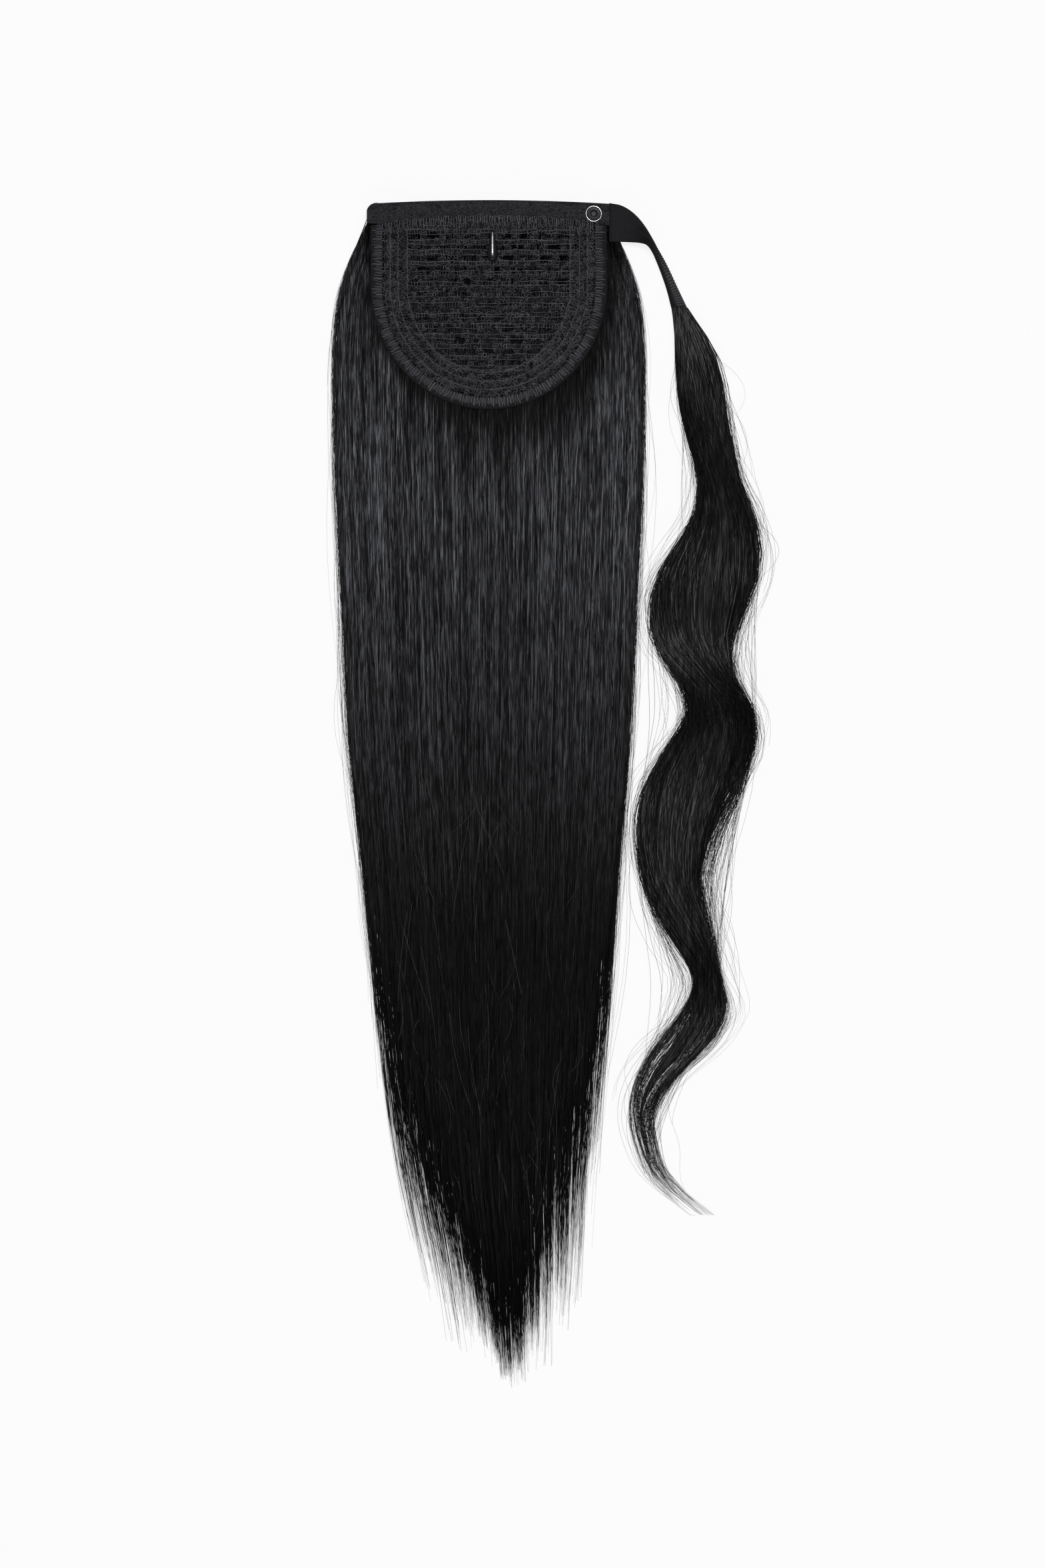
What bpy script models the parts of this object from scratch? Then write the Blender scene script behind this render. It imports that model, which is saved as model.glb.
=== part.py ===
"""A wrap-around ponytail hairpiece, lying flat on its hair with the inner side of the base facing up.

Metres. +X runs across the base, +Y towards the base's top edge and +Z up. Every piece is worked out
from the middle of the base's top edge, and the whole is then moved so that the origin is the centre
of the bottom of its bounding box.
"""

import math
import random

import bmesh
import bpy
from mathutils import Matrix, Vector

# The clearance between neighbouring pieces, and how near two points of one mesh may come
PIECE_GAP = 0.0003
MERGE = 0.000001

# The U-shaped base
BASE_WIDTH = 0.101
BASE_STRAIGHT = 0.0264
BASE_ROUND = 0.0530
BINDING_WIDTH = 0.0054
BINDING_THICKNESS = 0.0022

# The band along its top edge
BAND_HEIGHT = 0.0106
BAND_ARCH = 0.0034
BAND_BOW = 0.0012
BAND_THICKNESS = 0.0016
BAND_OVERHANG_LEFT = 0.0017
BAND_OVERHANG_RIGHT = 0.0009
FOLD_WIDTH = 0.0050
FOLD_THICKNESS = 0.0026
FOLD_CORNER = 0.0042

# The net
NET_THICKNESS = 0.0014
NET_RIM = 0.0034
NET_ROW_PITCH = 0.0050
NET_COLUMN_PITCH = 0.0080
NET_GAP_HEIGHT = 0.0029
NET_GAP_WIDTH = 0.0050

# The hook on the net
HOOK_LENGTH = 0.0140
HOOK_WIDTH = 0.0048
HOOK_THICKNESS = 0.0024
HOOK_DROP = 0.0056
HOOK_OFFSET = 0.0016
BAR_LENGTH = 0.0105
BAR_WIDTH = 0.0016
BAR_DEPTH = 0.0011
BAR_SUNK = 0.0006

# The press stud on the band
SNAP_RADIUS = 0.0036
SNAP_WIRE = 0.0007
SNAP_HEIGHT = 0.0012
SNAP_FROM_END = 0.0066
SNAP_FROM_TOP = 0.0059

# The main hair
HAIR_LENGTH = 0.508
HAIR_WIDTH = 0.132
HAIR_THICKNESS = 0.0110
HAIR_SIDE_SAG = 0.0033
ROOT_BACKING_THICKNESS = 0.0030
ROOT_BACKING_INSET = 0.0022
ROOT_TOP_INSET = 0.0030
LOCK_COUNT = 15
LOCK_WIDTH = 0.0156
EDGE_LOCK_SHORTFALL = 0.112
TIP_LOCK_COUNT = 12
TIP_LOCK_WIDTH = 0.0064
TIP_LOCK_LENGTH = 0.150
LOCK_ROOT_INSET = 0.0015
LOCK_STAGGER = 0.00031
POINT_WIDTH = 0.0012

# The wrap strap
STRAP_WIDTH = 0.0164
STRAP_THICKNESS = 0.0014
STRAP_NECK_WIDTH = 0.0040
STRAP_NECK_THICKNESS = 0.0034
STRAP_END_WIDTH = 0.0064
STRAP_TOP_INSET = 0.0003
STRAP_DROP = 0.0446

# The wavy tress on the strap
TRESS_LENGTH = 0.389
TRESS_SWAY = 0.0177
TRESS_WIDTH = 0.0436
TRESS_THICKNESS = 0.0115
TRESS_CLEARANCE = 0.0052
TRESS_LOCK_WIDTH = 0.0110

# The hair's outline. along: share of HAIR_LENGTH. half: of half HAIR_WIDTH. axis: of half HAIR_WIDTH,
# to the right. depth: of HAIR_THICKNESS
FALL = (
    ("along", "half", "axis", "depth"),
    (0.000, 0.78, 0.00, 0.50),
    (0.022, 0.81, 0.00, 0.58),
    (0.045, 0.89, 0.00, 0.66),
    (0.078, 0.97, 0.00, 0.76),
    (0.120, 1.00, 0.00, 0.88),
    (0.170, 1.00, 0.00, 0.97),
    (0.240, 0.99, 0.00, 1.00),
    (0.350, 0.95, 0.00, 0.98),
    (0.450, 0.91, 0.00, 0.92),
    (0.550, 0.84, 0.01, 0.84),
    (0.650, 0.78, 0.02, 0.76),
    (0.740, 0.72, 0.03, 0.67),
    (0.820, 0.65, 0.05, 0.56),
    (0.900, 0.56, 0.10, 0.44),
    (1.000, 0.44, 0.14, 0.26),
)

# The tress. along: share of TRESS_LENGTH. sway: of TRESS_SWAY, to the right. width: of TRESS_WIDTH
TRESS = (
    ("along", "sway", "width"),
    (0.000, -0.08, 0.15),
    (0.031, 0.18, 0.29),
    (0.064, 0.35, 0.40),
    (0.110, 0.49, 0.44),
    (0.156, 0.71, 0.42),
    (0.192, 0.89, 0.42),
    (0.229, 1.00, 0.58),
    (0.265, 0.85, 0.84),
    (0.302, 0.56, 1.00),
    (0.338, 0.33, 0.94),
    (0.375, 0.25, 0.76),
    (0.412, 0.59, 0.59),
    (0.448, 0.92, 0.67),
    (0.485, 0.69, 0.88),
    (0.521, 0.27, 0.95),
    (0.558, -0.07, 0.87),
    (0.594, -0.25, 0.73),
    (0.631, -0.27, 0.59),
    (0.667, -0.04, 0.52),
    (0.704, 0.30, 0.40),
    (0.741, 0.62, 0.27),
    (0.777, 0.52, 0.48),
    (0.814, -0.04, 0.58),
    (0.850, -0.69, 0.38),
    (0.887, -1.00, 0.19),
    (0.923, -0.88, 0.14),
    (0.960, -0.55, 0.08),
    (1.000, 0.45, 0.04),
)

# The side locks of the tress. start, end: shares of TRESS_LENGTH. side: the lock's middle, as a share of
# the tress's half width, which swings by swing as often as turns. crest: height, of the tress's own
TRESS_LOCKS = (
    ("start", "end", "side", "swing", "turns", "phase", "crest"),
    (0.05, 0.90, -0.45, 0.45, 1.6, 0.0, 1.06),
    (0.08, 0.94, 0.40, 0.50, 1.4, 2.1, 1.10),
    (0.20, 0.86, 0.05, 0.60, 2.1, 4.0, 1.02),
    (0.24, 0.70, 0.62, 0.38, 2.6, 1.0, 0.92),
)

# The strap. across, down: shares of the way from the band's end to the tress. wide: 1 is the full tape, 0
# its folded neck. lift: of the band's height above the floor
STRAP = (
    ("across", "down", "wide", "lift"),
    (0.000, 0.000, 1.00, 1.00),
    (0.160, 0.020, 0.92, 0.97),
    (0.324, 0.070, 0.68, 0.80),
    (0.460, 0.150, 0.32, 0.52),
    (0.550, 0.222, 0.10, 0.30),
    (0.625, 0.310, 0.00, 0.14),
    (0.703, 0.418, 0.00, 0.04),
    (0.841, 0.660, 0.00, 0.00),
    (0.940, 0.860, 0.05, 0.00),
)

# The binding's section. out: of half its width, from its inner edge, -1, to its outer. up: of its height
BINDING_SECTION = (
    ("out", "up"),
    (-1.00, 0.12),
    (-1.00, 0.55),
    (-0.72, 0.92),
    (-0.20, 1.00),
    (0.20, 1.00),
    (0.72, 0.92),
    (1.00, 0.55),
    (1.00, 0.12),
    (0.80, 0.00),
    (-0.80, 0.00),
)

# The strap's section, in the same shares
STRAP_SECTION = (
    ("out", "up"),
    (-1.0, 0.25),
    (-1.0, 0.75),
    (-0.9, 1.00),
    (0.0, 1.00),
    (0.9, 1.00),
    (1.0, 0.75),
    (1.0, 0.25),
    (0.9, 0.00),
    (0.0, 0.00),
    (-0.9, 0.00),
)

BLACK_HAIR = (0.012, 0.012, 0.014)
BLACK_CLOTH = (0.022, 0.022, 0.026)


def column(table, name):
    return [row[table[0].index(name)] for row in table[1:]]


def read(table, name, along):
    """The named column at this place along the table, on a smooth curve through its rows."""
    places = column(table, "along")
    values = column(table, name)
    last = len(places) - 1
    at = min(max(along, places[0]), places[-1])
    i = max(k for k in range(last) if places[k] <= at)

    def slope(k):
        low, high = max(k - 1, 0), min(k + 1, last)
        return (values[high] - values[low]) / (places[high] - places[low])

    step = places[i + 1] - places[i]
    t = (at - places[i]) / step
    start = values[i] * (1 + 2 * t) * (1 - t) ** 2 + slope(i) * step * t * (1 - t) ** 2
    end = values[i + 1] * t * t * (3 - 2 * t) + slope(i + 1) * step * t * t * (t - 1)
    return start + end


def ease(low, high, value):
    t = min(max((value - low) / (high - low), 0.0), 1.0)
    return t * t * (3 - 2 * t)


# The lie of the hair and of the base on it


def hair_top(x, y):
    """Height of the hair's upper side, which the base rests on."""
    depth = HAIR_THICKNESS * read(FALL, "depth", -y / HAIR_LENGTH)
    return depth - HAIR_SIDE_SAG * (2 * x / HAIR_WIDTH) ** 2


def base_floor(x, y):
    """Height of the underside of the base's pieces."""
    return hair_top(x, y) + PIECE_GAP


def hair_edge(y):
    """How far the hair reaches to the right at this height of the page."""
    share = read(FALL, "half", -y / HAIR_LENGTH) + read(FALL, "axis", -y / HAIR_LENGTH)
    return share * HAIR_WIDTH / 2


def band_top(x):
    return -BAND_BOW * (2 * x / BASE_WIDTH) ** 2


def band_bottom(x):
    return -BAND_HEIGHT + BAND_ARCH * (1 - (2 * x / BASE_WIDTH) ** 2)


def band_left():
    return -BASE_WIDTH / 2 - BAND_OVERHANG_LEFT


def band_right():
    return BASE_WIDTH / 2 + BAND_OVERHANG_RIGHT


def u_outline(inset, steps=36):
    """The base's edge, moved in by inset, from its upper left round the bottom to its upper right."""
    half = BASE_WIDTH / 2 - inset
    top = band_bottom(half) - PIECE_GAP
    turn = -BAND_HEIGHT - BASE_STRAIGHT
    points = [(-half, top + (turn - top) * i / 4) for i in range(4)]
    for i in range(steps + 1):
        angle = math.pi * (1 + i / steps)
        points.append((half * math.cos(angle), turn + (BASE_ROUND - inset) * math.sin(angle)))
    points += [(half, turn + (top - turn) * i / 4) for i in range(1, 5)]
    return points


# Making meshes


def new_object(name, mesh_builder, material, collection):
    mesh = bpy.data.meshes.new(name)
    bmesh.ops.recalc_face_normals(mesh_builder, faces=mesh_builder.faces)
    mesh_builder.to_mesh(mesh)
    mesh_builder.free()
    if material:
        mesh.materials.append(material)
    obj = bpy.data.objects.new(name, mesh)
    collection.objects.link(obj)
    return obj


def loft(rings):
    """A closed body through rings of equally many points, with flat ends."""
    bm = bmesh.new()
    loops = [[bm.verts.new(point) for point in ring] for ring in rings]
    for low, high in zip(loops, loops[1:]):
        for i in range(len(low)):
            j = (i + 1) % len(low)
            bm.faces.new((low[i], low[j], high[j], high[i]))
    bm.faces.new(loops[0])
    bm.faces.new(loops[-1])
    return bm


def slab(strips, thickness):
    """A plate over rows of plan points, each row as long as the last, from Z = 0 up to thickness."""
    bm = bmesh.new()
    grids = []
    for z in (0.0, thickness):
        grids.append([[bm.verts.new((x, y, z)) for x, y in row] for row in strips])
    rows, places = len(strips), len(strips[0])
    for grid in grids:
        for r in range(rows - 1):
            for p in range(places - 1):
                bm.faces.new((grid[r][p], grid[r][p + 1], grid[r + 1][p + 1], grid[r + 1][p]))
    edge = [(0, p) for p in range(places)] + [(r, places - 1) for r in range(1, rows)]
    edge += [(rows - 1, p) for p in range(places - 2, -1, -1)] + [(r, 0) for r in range(rows - 2, 0, -1)]
    for (r, p), (s, q) in zip(edge, edge[1:] + edge[:1]):
        bm.faces.new((grids[0][r][p], grids[0][s][q], grids[1][s][q], grids[1][r][p]))
    return bm


def lay_on_hair(obj):
    """Moves each point of a flat piece up by the height of the hair under it."""
    for vertex in obj.data.vertices:
        vertex.co.z += base_floor(vertex.co.x, vertex.co.y)


def apply_modifiers(obj):
    """Replaces the object's mesh by what its modifiers make of it."""
    graph = bpy.context.evaluated_depsgraph_get()
    old = obj.data
    obj.data = bpy.data.meshes.new_from_object(obj.evaluated_get(graph))
    obj.modifiers.clear()
    bpy.data.meshes.remove(old)
    obj.data.name = obj.name


def boolean(obj, operation, cutter):
    """Adds a Boolean with one object, or with all the objects of a collection."""
    modifier = obj.modifiers.new(operation.lower(), "BOOLEAN")
    modifier.operation = operation
    if isinstance(cutter, bpy.types.Collection):
        modifier.operand_type = "COLLECTION"
        modifier.collection = cutter
    else:
        modifier.object = cutter


def clean(obj, flat_underside=False):
    """Joins points that all but meet, cuts away what is under the floor if asked, and leaves triangles."""
    bm = bmesh.new()
    bm.from_mesh(obj.data)
    bmesh.ops.remove_doubles(bm, verts=bm.verts, dist=MERGE)
    if flat_underside:
        everything = bm.verts[:] + bm.edges[:] + bm.faces[:]
        cut = bmesh.ops.bisect_plane(
            bm, geom=everything, dist=MERGE / 10, plane_co=(0, 0, 0), plane_no=(0, 0, 1), clear_inner=True
        )
        rim = [edge for edge in cut["geom_cut"] if isinstance(edge, bmesh.types.BMEdge)]
        bmesh.ops.triangle_fill(bm, edges=rim, use_beauty=True, normal=(0, 0, -1))
    bmesh.ops.triangulate(bm, faces=bm.faces)
    bmesh.ops.recalc_face_normals(bm, faces=bm.faces)
    bm.to_mesh(obj.data)
    bm.free()


# Materials and collections


def material(name, colour, roughness, metallic=0.0):
    made = bpy.data.materials.new(name)
    made.use_nodes = True
    shader = made.node_tree.nodes["Principled BSDF"]
    shader.inputs["Base Color"].default_value = (*colour, 1.0)
    shader.inputs["Roughness"].default_value = roughness
    shader.inputs["Metallic"].default_value = metallic
    return made


def clear_scene():
    for obj in list(bpy.data.objects):
        bpy.data.objects.remove(obj)


def new_collection(name):
    made = bpy.data.collections.new(name)
    bpy.context.scene.collection.children.link(made)
    return made


def hide_cutters(cutters):
    for obj in cutters.objects:
        obj.hide_render = True
        obj.display_type = "WIRE"


# Hair

# What part of a lock's section is above its middle. The rest goes below the floor, and is cut off
ABOVE_MIDDLE = 0.75


def lock_ring(x, y, half_width, top, sides=10):
    """One section of a lock across the page: round on top, and through the floor at the bottom."""
    half_height = ABOVE_MIDDLE * top
    ring = []
    for i in range(sides):
        angle = 2 * math.pi * (i + 0.5) / sides
        ring.append((x + half_width * math.cos(angle), y, top - half_height + half_height * math.sin(angle)))
    return ring


def lock_taper(share):
    """A lock's width along its length, as a share of its full width."""
    return 1 - ease(0.72, 1.0, share)


def fuse(body, locks):
    """Joins the locks to the body for good, with one flat underside on the floor."""
    boolean(body, "UNION", locks)
    bpy.context.view_layer.update()
    apply_modifiers(body)
    clean(body, flat_underside=True)
    for obj in list(locks.objects):
        bpy.data.objects.remove(obj)
    bpy.data.collections.remove(locks)


def fall_lock(side, wave, start, end, width, crest, rings, sides):
    """One lock of the main hair: side is -1 at the left edge and 1 at the right, start and end are y."""
    rows = []
    for i in range(rings):
        share = i / (rings - 1)
        y = start + (end - start) * share
        along = -y / HAIR_LENGTH
        spread = read(FALL, "half", along)
        half = max(spread * width / 2 * lock_taper(share), POINT_WIDTH / 2)
        reach = spread * HAIR_WIDTH / 2 - spread * LOCK_WIDTH / 2
        x = read(FALL, "axis", along) * HAIR_WIDTH / 2 + side * reach
        x += wave * half * math.sin(9 * along + 3 * side)
        top = crest * hair_top(x, y) * (1 - 0.42 * ease(0.6, 1.0, abs(side)))
        top *= 1 - 0.75 * ease(0.55, 1.0, share)
        rows.append(lock_ring(x, y, half, top, sides))
    return loft(rows)


def root_backing(black, collection):
    """The root of the hair under the base, which every lock runs into."""
    outline = u_outline(ROOT_BACKING_INSET, steps=18)
    left = outline[: len(outline) // 2]
    right = outline[: len(outline) // 2 : -1]
    across = 10
    strips = [[(-outline[0][0] * (2 * i / across - 1), -ROOT_TOP_INSET) for i in range(across + 1)]]
    for (x0, y0), (x1, y1) in zip(left, right):
        strips.append([(x0 + (x1 - x0) * i / across, y0 + (y1 - y0) * i / across) for i in range(across + 1)])
    bm = slab(strips, ROOT_BACKING_THICKNESS)
    for vertex in bm.verts:
        vertex.co.z += hair_top(vertex.co.x, vertex.co.y) - ROOT_BACKING_THICKNESS
    return new_object("hair_fall", bm, black, collection)


def make_hair_fall(black, collection):
    rng = random.Random(7)
    fall = root_backing(black, collection)
    locks = new_collection("fall_locks")
    for i in range(LOCK_COUNT):
        side = -1 + 2 * i / (LOCK_COUNT - 1)
        start = -ROOT_TOP_INSET - LOCK_ROOT_INSET if abs(side) < 0.8 else -BAND_HEIGHT - LOCK_ROOT_INSET
        start -= LOCK_STAGGER * (i * 7 % LOCK_COUNT)
        shortfall = EDGE_LOCK_SHORTFALL * (abs(side) ** 2 + rng.uniform(-0.05, 0.12))
        end = -HAIR_LENGTH + max(shortfall, 0.0)
        if i == LOCK_COUNT // 2:
            end = -HAIR_LENGTH
        bm = fall_lock(side, 0.08, start, end, LOCK_WIDTH, 0.93 - 0.02 * (i % 2), 15, 10)
        new_object(f"fall_lock_{i + 1}", bm, black, locks)
    for i in range(TIP_LOCK_COUNT):
        side = -0.94 + 1.88 * i / (TIP_LOCK_COUNT - 1)
        end = -HAIR_LENGTH + EDGE_LOCK_SHORTFALL * (abs(side) ** 2 + rng.uniform(-0.02, 0.25)) * 0.9
        bm = fall_lock(side, 0.5, end + TIP_LOCK_LENGTH, end, TIP_LOCK_WIDTH, 1.0, 8, 8)
        new_object(f"tip_lock_{i + 1}", bm, black, locks)
    fuse(fall, locks)
    return fall


# Where the tress lies


def tress_axis():
    """The middle of the tress's swing: as near to the hair as its clearance lets its inner bends come."""
    needed = []
    for along, sway, width in TRESS[1:]:
        y = -STRAP_DROP - PIECE_GAP - along * TRESS_LENGTH
        inner = sway * TRESS_SWAY - width * TRESS_WIDTH / 2
        needed.append(hair_edge(y) + TRESS_CLEARANCE - inner)
    return max(needed)


def tress_section(along):
    """The middle and half the width of the tress at this share of its length, and its height."""
    middle = tress_axis() + read(TRESS, "sway", along) * TRESS_SWAY
    half = max(read(TRESS, "width", along) * TRESS_WIDTH / 2, POINT_WIDTH / 2)
    top = TRESS_THICKNESS * (half / (TRESS_WIDTH / 2)) ** 0.6
    return middle, half, top


def make_wrap_tress(black, collection):
    head = -STRAP_DROP - PIECE_GAP
    rings = []
    count = 38
    for i in range(count):
        along = i / (count - 1)
        middle, half, top = tress_section(along)
        if i == 0:
            half, top = STRAP_END_WIDTH / 2, STRAP_THICKNESS * 2
        rings.append(lock_ring(middle, head - along * TRESS_LENGTH, half, top))
    tress = new_object("wrap_tress", loft(rings), black, collection)
    locks = new_collection("tress_locks")
    for number, (start, end, side, swing, turns, phase, crest) in enumerate(TRESS_LOCKS[1:]):
        rings = []
        count = round(26 * (end - start)) + 2
        for i in range(count):
            share = i / (count - 1)
            along = start + (end - start) * share
            middle, half, top = tress_section(along)
            ends = math.sin(math.pi * (0.08 + 0.84 * share)) ** 0.7
            lock_half = max(min(TRESS_LOCK_WIDTH / 2, 0.6 * half) * ends, POINT_WIDTH / 2)
            reach = side + swing * math.sin(turns * 2 * math.pi * share + phase)
            x = middle + reach * (half - 0.7 * lock_half)
            height = crest * top * math.sqrt(max(1 - 0.72 * reach**2, 0.1)) * (0.55 + 0.45 * ends)
            rings.append(lock_ring(x, head - along * TRESS_LENGTH, lock_half, height, 8))
        new_object(f"tress_lock_{number + 1}", loft(rings), black, locks)
    fuse(tress, locks)
    return tress


# The base


def make_top_band(cloth, collection):
    left = band_left() + FOLD_WIDTH + PIECE_GAP
    right = band_right()
    across, down = 20, 3
    strips = []
    for r in range(down + 1):
        row = []
        for p in range(across + 1):
            x = left + (right - left) * p / across
            row.append((x, band_top(x) + (band_bottom(x) - band_top(x)) * r / down))
        strips.append(row)
    band = new_object("top_band", slab(strips, BAND_THICKNESS), cloth, collection)
    lay_on_hair(band)
    return band


def make_band_fold(cloth, collection):
    """The band's end, folded back over itself, with a rounded upper corner."""
    left = band_left()
    right = left + FOLD_WIDTH
    strips = []
    across = 5
    for p in range(across + 1):
        x = left + FOLD_WIDTH * p / across
        inward = max(1 - (x - left) / FOLD_CORNER, 0.0)
        drop = FOLD_CORNER * (1 - math.sqrt(1 - min(inward, 0.98) ** 2))
        top = band_top(right) - drop
        strips.append([(x, top + (band_bottom(right) - top) * r / 3) for r in range(4)])
    fold = new_object("band_fold", slab(strips, FOLD_THICKNESS), cloth, collection)
    lay_on_hair(fold)
    bevel = fold.modifiers.new("round", "BEVEL")
    bevel.width = 0.0004
    bevel.segments = 1
    bevel.limit_method = "ANGLE"
    return fold


def make_edge_binding(cloth, collection):
    """The tape round the U, with a rounded section that is flat underneath."""
    path = u_outline(BINDING_WIDTH / 2)
    half = BINDING_WIDTH / 2
    rings = []
    for i, (x, y) in enumerate(path):
        before, after = path[max(i - 1, 0)], path[min(i + 1, len(path) - 1)]
        along = Vector((after[0] - before[0], after[1] - before[1])).normalized()
        if i in (0, len(path) - 1):
            along = Vector((0.0, -1.0 if i == 0 else 1.0))
        across = Vector((-along.y, along.x))
        ring = []
        for out, up in BINDING_SECTION[1:]:
            px, py = x + across.x * out * half, y + across.y * out * half
            if i in (0, len(path) - 1):
                py = band_bottom(px) - PIECE_GAP
            ring.append((px, py, up * BINDING_THICKNESS))
        rings.append(ring)
    binding = new_object("edge_binding", loft(rings), cloth, collection)
    lay_on_hair(binding)
    return binding


def net_gap_places():
    """The middle of each gap in the net: rows of gaps, with every other row half a column over."""
    half = BASE_WIDTH / 2 - BINDING_WIDTH - PIECE_GAP - NET_RIM
    turn = -BAND_HEIGHT - BASE_STRAIGHT
    depth = BASE_ROUND - BINDING_WIDTH - PIECE_GAP - NET_RIM
    places = []
    rows = int((BASE_STRAIGHT + BASE_ROUND) / NET_ROW_PITCH)
    columns = int(BASE_WIDTH / NET_COLUMN_PITCH)
    for row in range(rows):
        y = -BAND_HEIGHT - NET_RIM - NET_GAP_HEIGHT / 2 - row * NET_ROW_PITCH
        low = y - NET_GAP_HEIGHT / 2
        inside = 1.0 if low > turn else 1 - ((turn - low) / depth) ** 2
        if inside <= 0:
            continue
        room = half * math.sqrt(inside)
        shift = 0.5 * (row % 2)
        for k in range(-columns, columns + 1):
            x = (k + shift) * NET_COLUMN_PITCH
            if abs(x) + NET_GAP_WIDTH / 2 <= room:
                places.append((x, y))
    return places


def make_cap_net(cloth, collection, cutters):
    """A plate inside the binding and below the band, cut through in rows of gaps."""
    edge = u_outline(BINDING_WIDTH + PIECE_GAP, steps=20)
    top_left, top_right = edge[0][0], edge[-1][0]
    upper = []
    for i in range(17):
        x = top_right + (top_left - top_right) * i / 16
        upper.append((x, band_bottom(x) - PIECE_GAP))
    outline = edge[1:-1] + upper
    bm = loft([[(x, y, z) for x, y in outline] for z in (0.0, NET_THICKNESS)])
    net = new_object("cap_net", bm, cloth, collection)
    bm = bmesh.new()
    for x, y in net_gap_places():
        place = Matrix.Translation((x, y, NET_THICKNESS / 2))
        size = Matrix.Diagonal((NET_GAP_WIDTH, NET_GAP_HEIGHT, 3 * NET_THICKNESS, 1.0))
        bmesh.ops.create_cube(bm, size=1.0, matrix=place @ size)
    gaps = new_object("net_gap_cutter", bm, None, cutters)
    boolean(net, "DIFFERENCE", gaps)
    bpy.context.view_layer.update()
    apply_modifiers(net)
    clean(net)
    lay_on_hair(net)
    return net


def surface_turn(x, y):
    """The turn that lays a level piece on the base at this place."""
    step = 0.001
    slope_x = (base_floor(x + step, y) - base_floor(x - step, y)) / (2 * step)
    slope_y = (base_floor(x, y + step) - base_floor(x, y - step)) / (2 * step)
    normal = Vector((-slope_x, -slope_y, 1.0)).normalized()
    return Vector((0, 0, 1)).rotation_difference(normal)


def seat(obj, x, y, height):
    """Places an object on the base's surface, height above its underside."""
    turn = surface_turn(x, y)
    obj.rotation_mode = "QUATERNION"
    obj.rotation_quaternion = turn
    obj.location = Vector((x, y, base_floor(x, y))) + turn @ Vector((0, 0, height))


def snap_place():
    return band_right() - SNAP_FROM_END, -SNAP_FROM_TOP


def make_snap(dark, silver, collection):
    x, y = snap_place()
    ring_radius = SNAP_RADIUS - SNAP_WIRE / 2
    bpy.ops.mesh.primitive_torus_add(
        major_radius=ring_radius, minor_radius=SNAP_WIRE / 2, major_segments=28, minor_segments=6
    )
    rim = bpy.context.object
    rim.name = "snap_rim"
    rim.data.materials.append(silver)
    for holder in list(rim.users_collection):
        holder.objects.unlink(rim)
    collection.objects.link(rim)
    seat(rim, x, y, BAND_THICKNESS + PIECE_GAP + SNAP_WIRE / 2)
    cap_radius = ring_radius - SNAP_WIRE / 2 - PIECE_GAP
    bm = bmesh.new()
    bmesh.ops.create_cone(
        bm,
        cap_ends=True,
        segments=24,
        radius1=cap_radius,
        radius2=cap_radius * 0.86,
        depth=SNAP_HEIGHT,
        matrix=Matrix.Translation((0, 0, SNAP_HEIGHT / 2)),
    )
    cap = new_object("snap_cap", bm, dark, collection)
    seat(cap, x, y, BAND_THICKNESS + PIECE_GAP)
    return rim, cap


def drop_ring(y, half_width, height, sides=12, low=0.0):
    """A section of the hook across its length, flat underneath."""
    ring = []
    for i in range(sides):
        angle = math.pi * i / (sides - 1)
        ring.append((half_width * math.cos(angle), y, low + (height - low) * math.sin(angle)))
    return ring


def make_hook(dark, silver, collection, cutters):
    """A small drop-shaped hook, narrow at the top, with a bright bar let into it."""
    x = HOOK_OFFSET
    y = band_bottom(x) - HOOK_DROP - HOOK_LENGTH / 2
    rings = []
    steps = 12
    for i in range(steps + 1):
        share = i / steps
        round_end = math.sqrt(max(1 - (2 * abs(share - 0.5)) ** 6, 0.12))
        wide = (0.42 + 0.58 * ease(0.15, 0.8, share)) * round_end
        tall = (0.62 + 0.38 * ease(0.1, 0.8, share)) * round_end
        rings.append(drop_ring(HOOK_LENGTH * (0.5 - share), HOOK_WIDTH / 2 * wide, HOOK_THICKNESS * tall))
    shell = new_object("hook_shell", loft(rings), dark, collection)
    bar_top = HOOK_LENGTH * 0.5 - (HOOK_LENGTH - BAR_LENGTH) * 0.35
    height = HOOK_THICKNESS * 0.9

    def bar_body(grow):
        bar_rings = []
        for i in range(7):
            share = i / 6
            half = BAR_WIDTH / 2 * (0.62 + 0.38 * share) * (0.75 if i in (0, 6) else 1.0) + grow
            along = bar_top - BAR_LENGTH * share + grow * (1 - 2 * share)
            low = height - BAR_SUNK - grow
            high = height - BAR_SUNK + BAR_DEPTH + grow
            bar_rings.append(drop_ring(along, half, high, sides=8, low=low))
        return loft(bar_rings)

    slot = new_object("hook_slot_cutter", bar_body(PIECE_GAP), None, cutters)
    boolean(shell, "DIFFERENCE", slot)
    bpy.context.view_layer.update()
    apply_modifiers(shell)
    clean(shell)
    bar = new_object("hook_bar", bar_body(0.0), silver, collection)
    for obj in (shell, bar):
        seat(obj, x, y, NET_THICKNESS + PIECE_GAP)
    return shell, bar


# The strap


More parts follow.
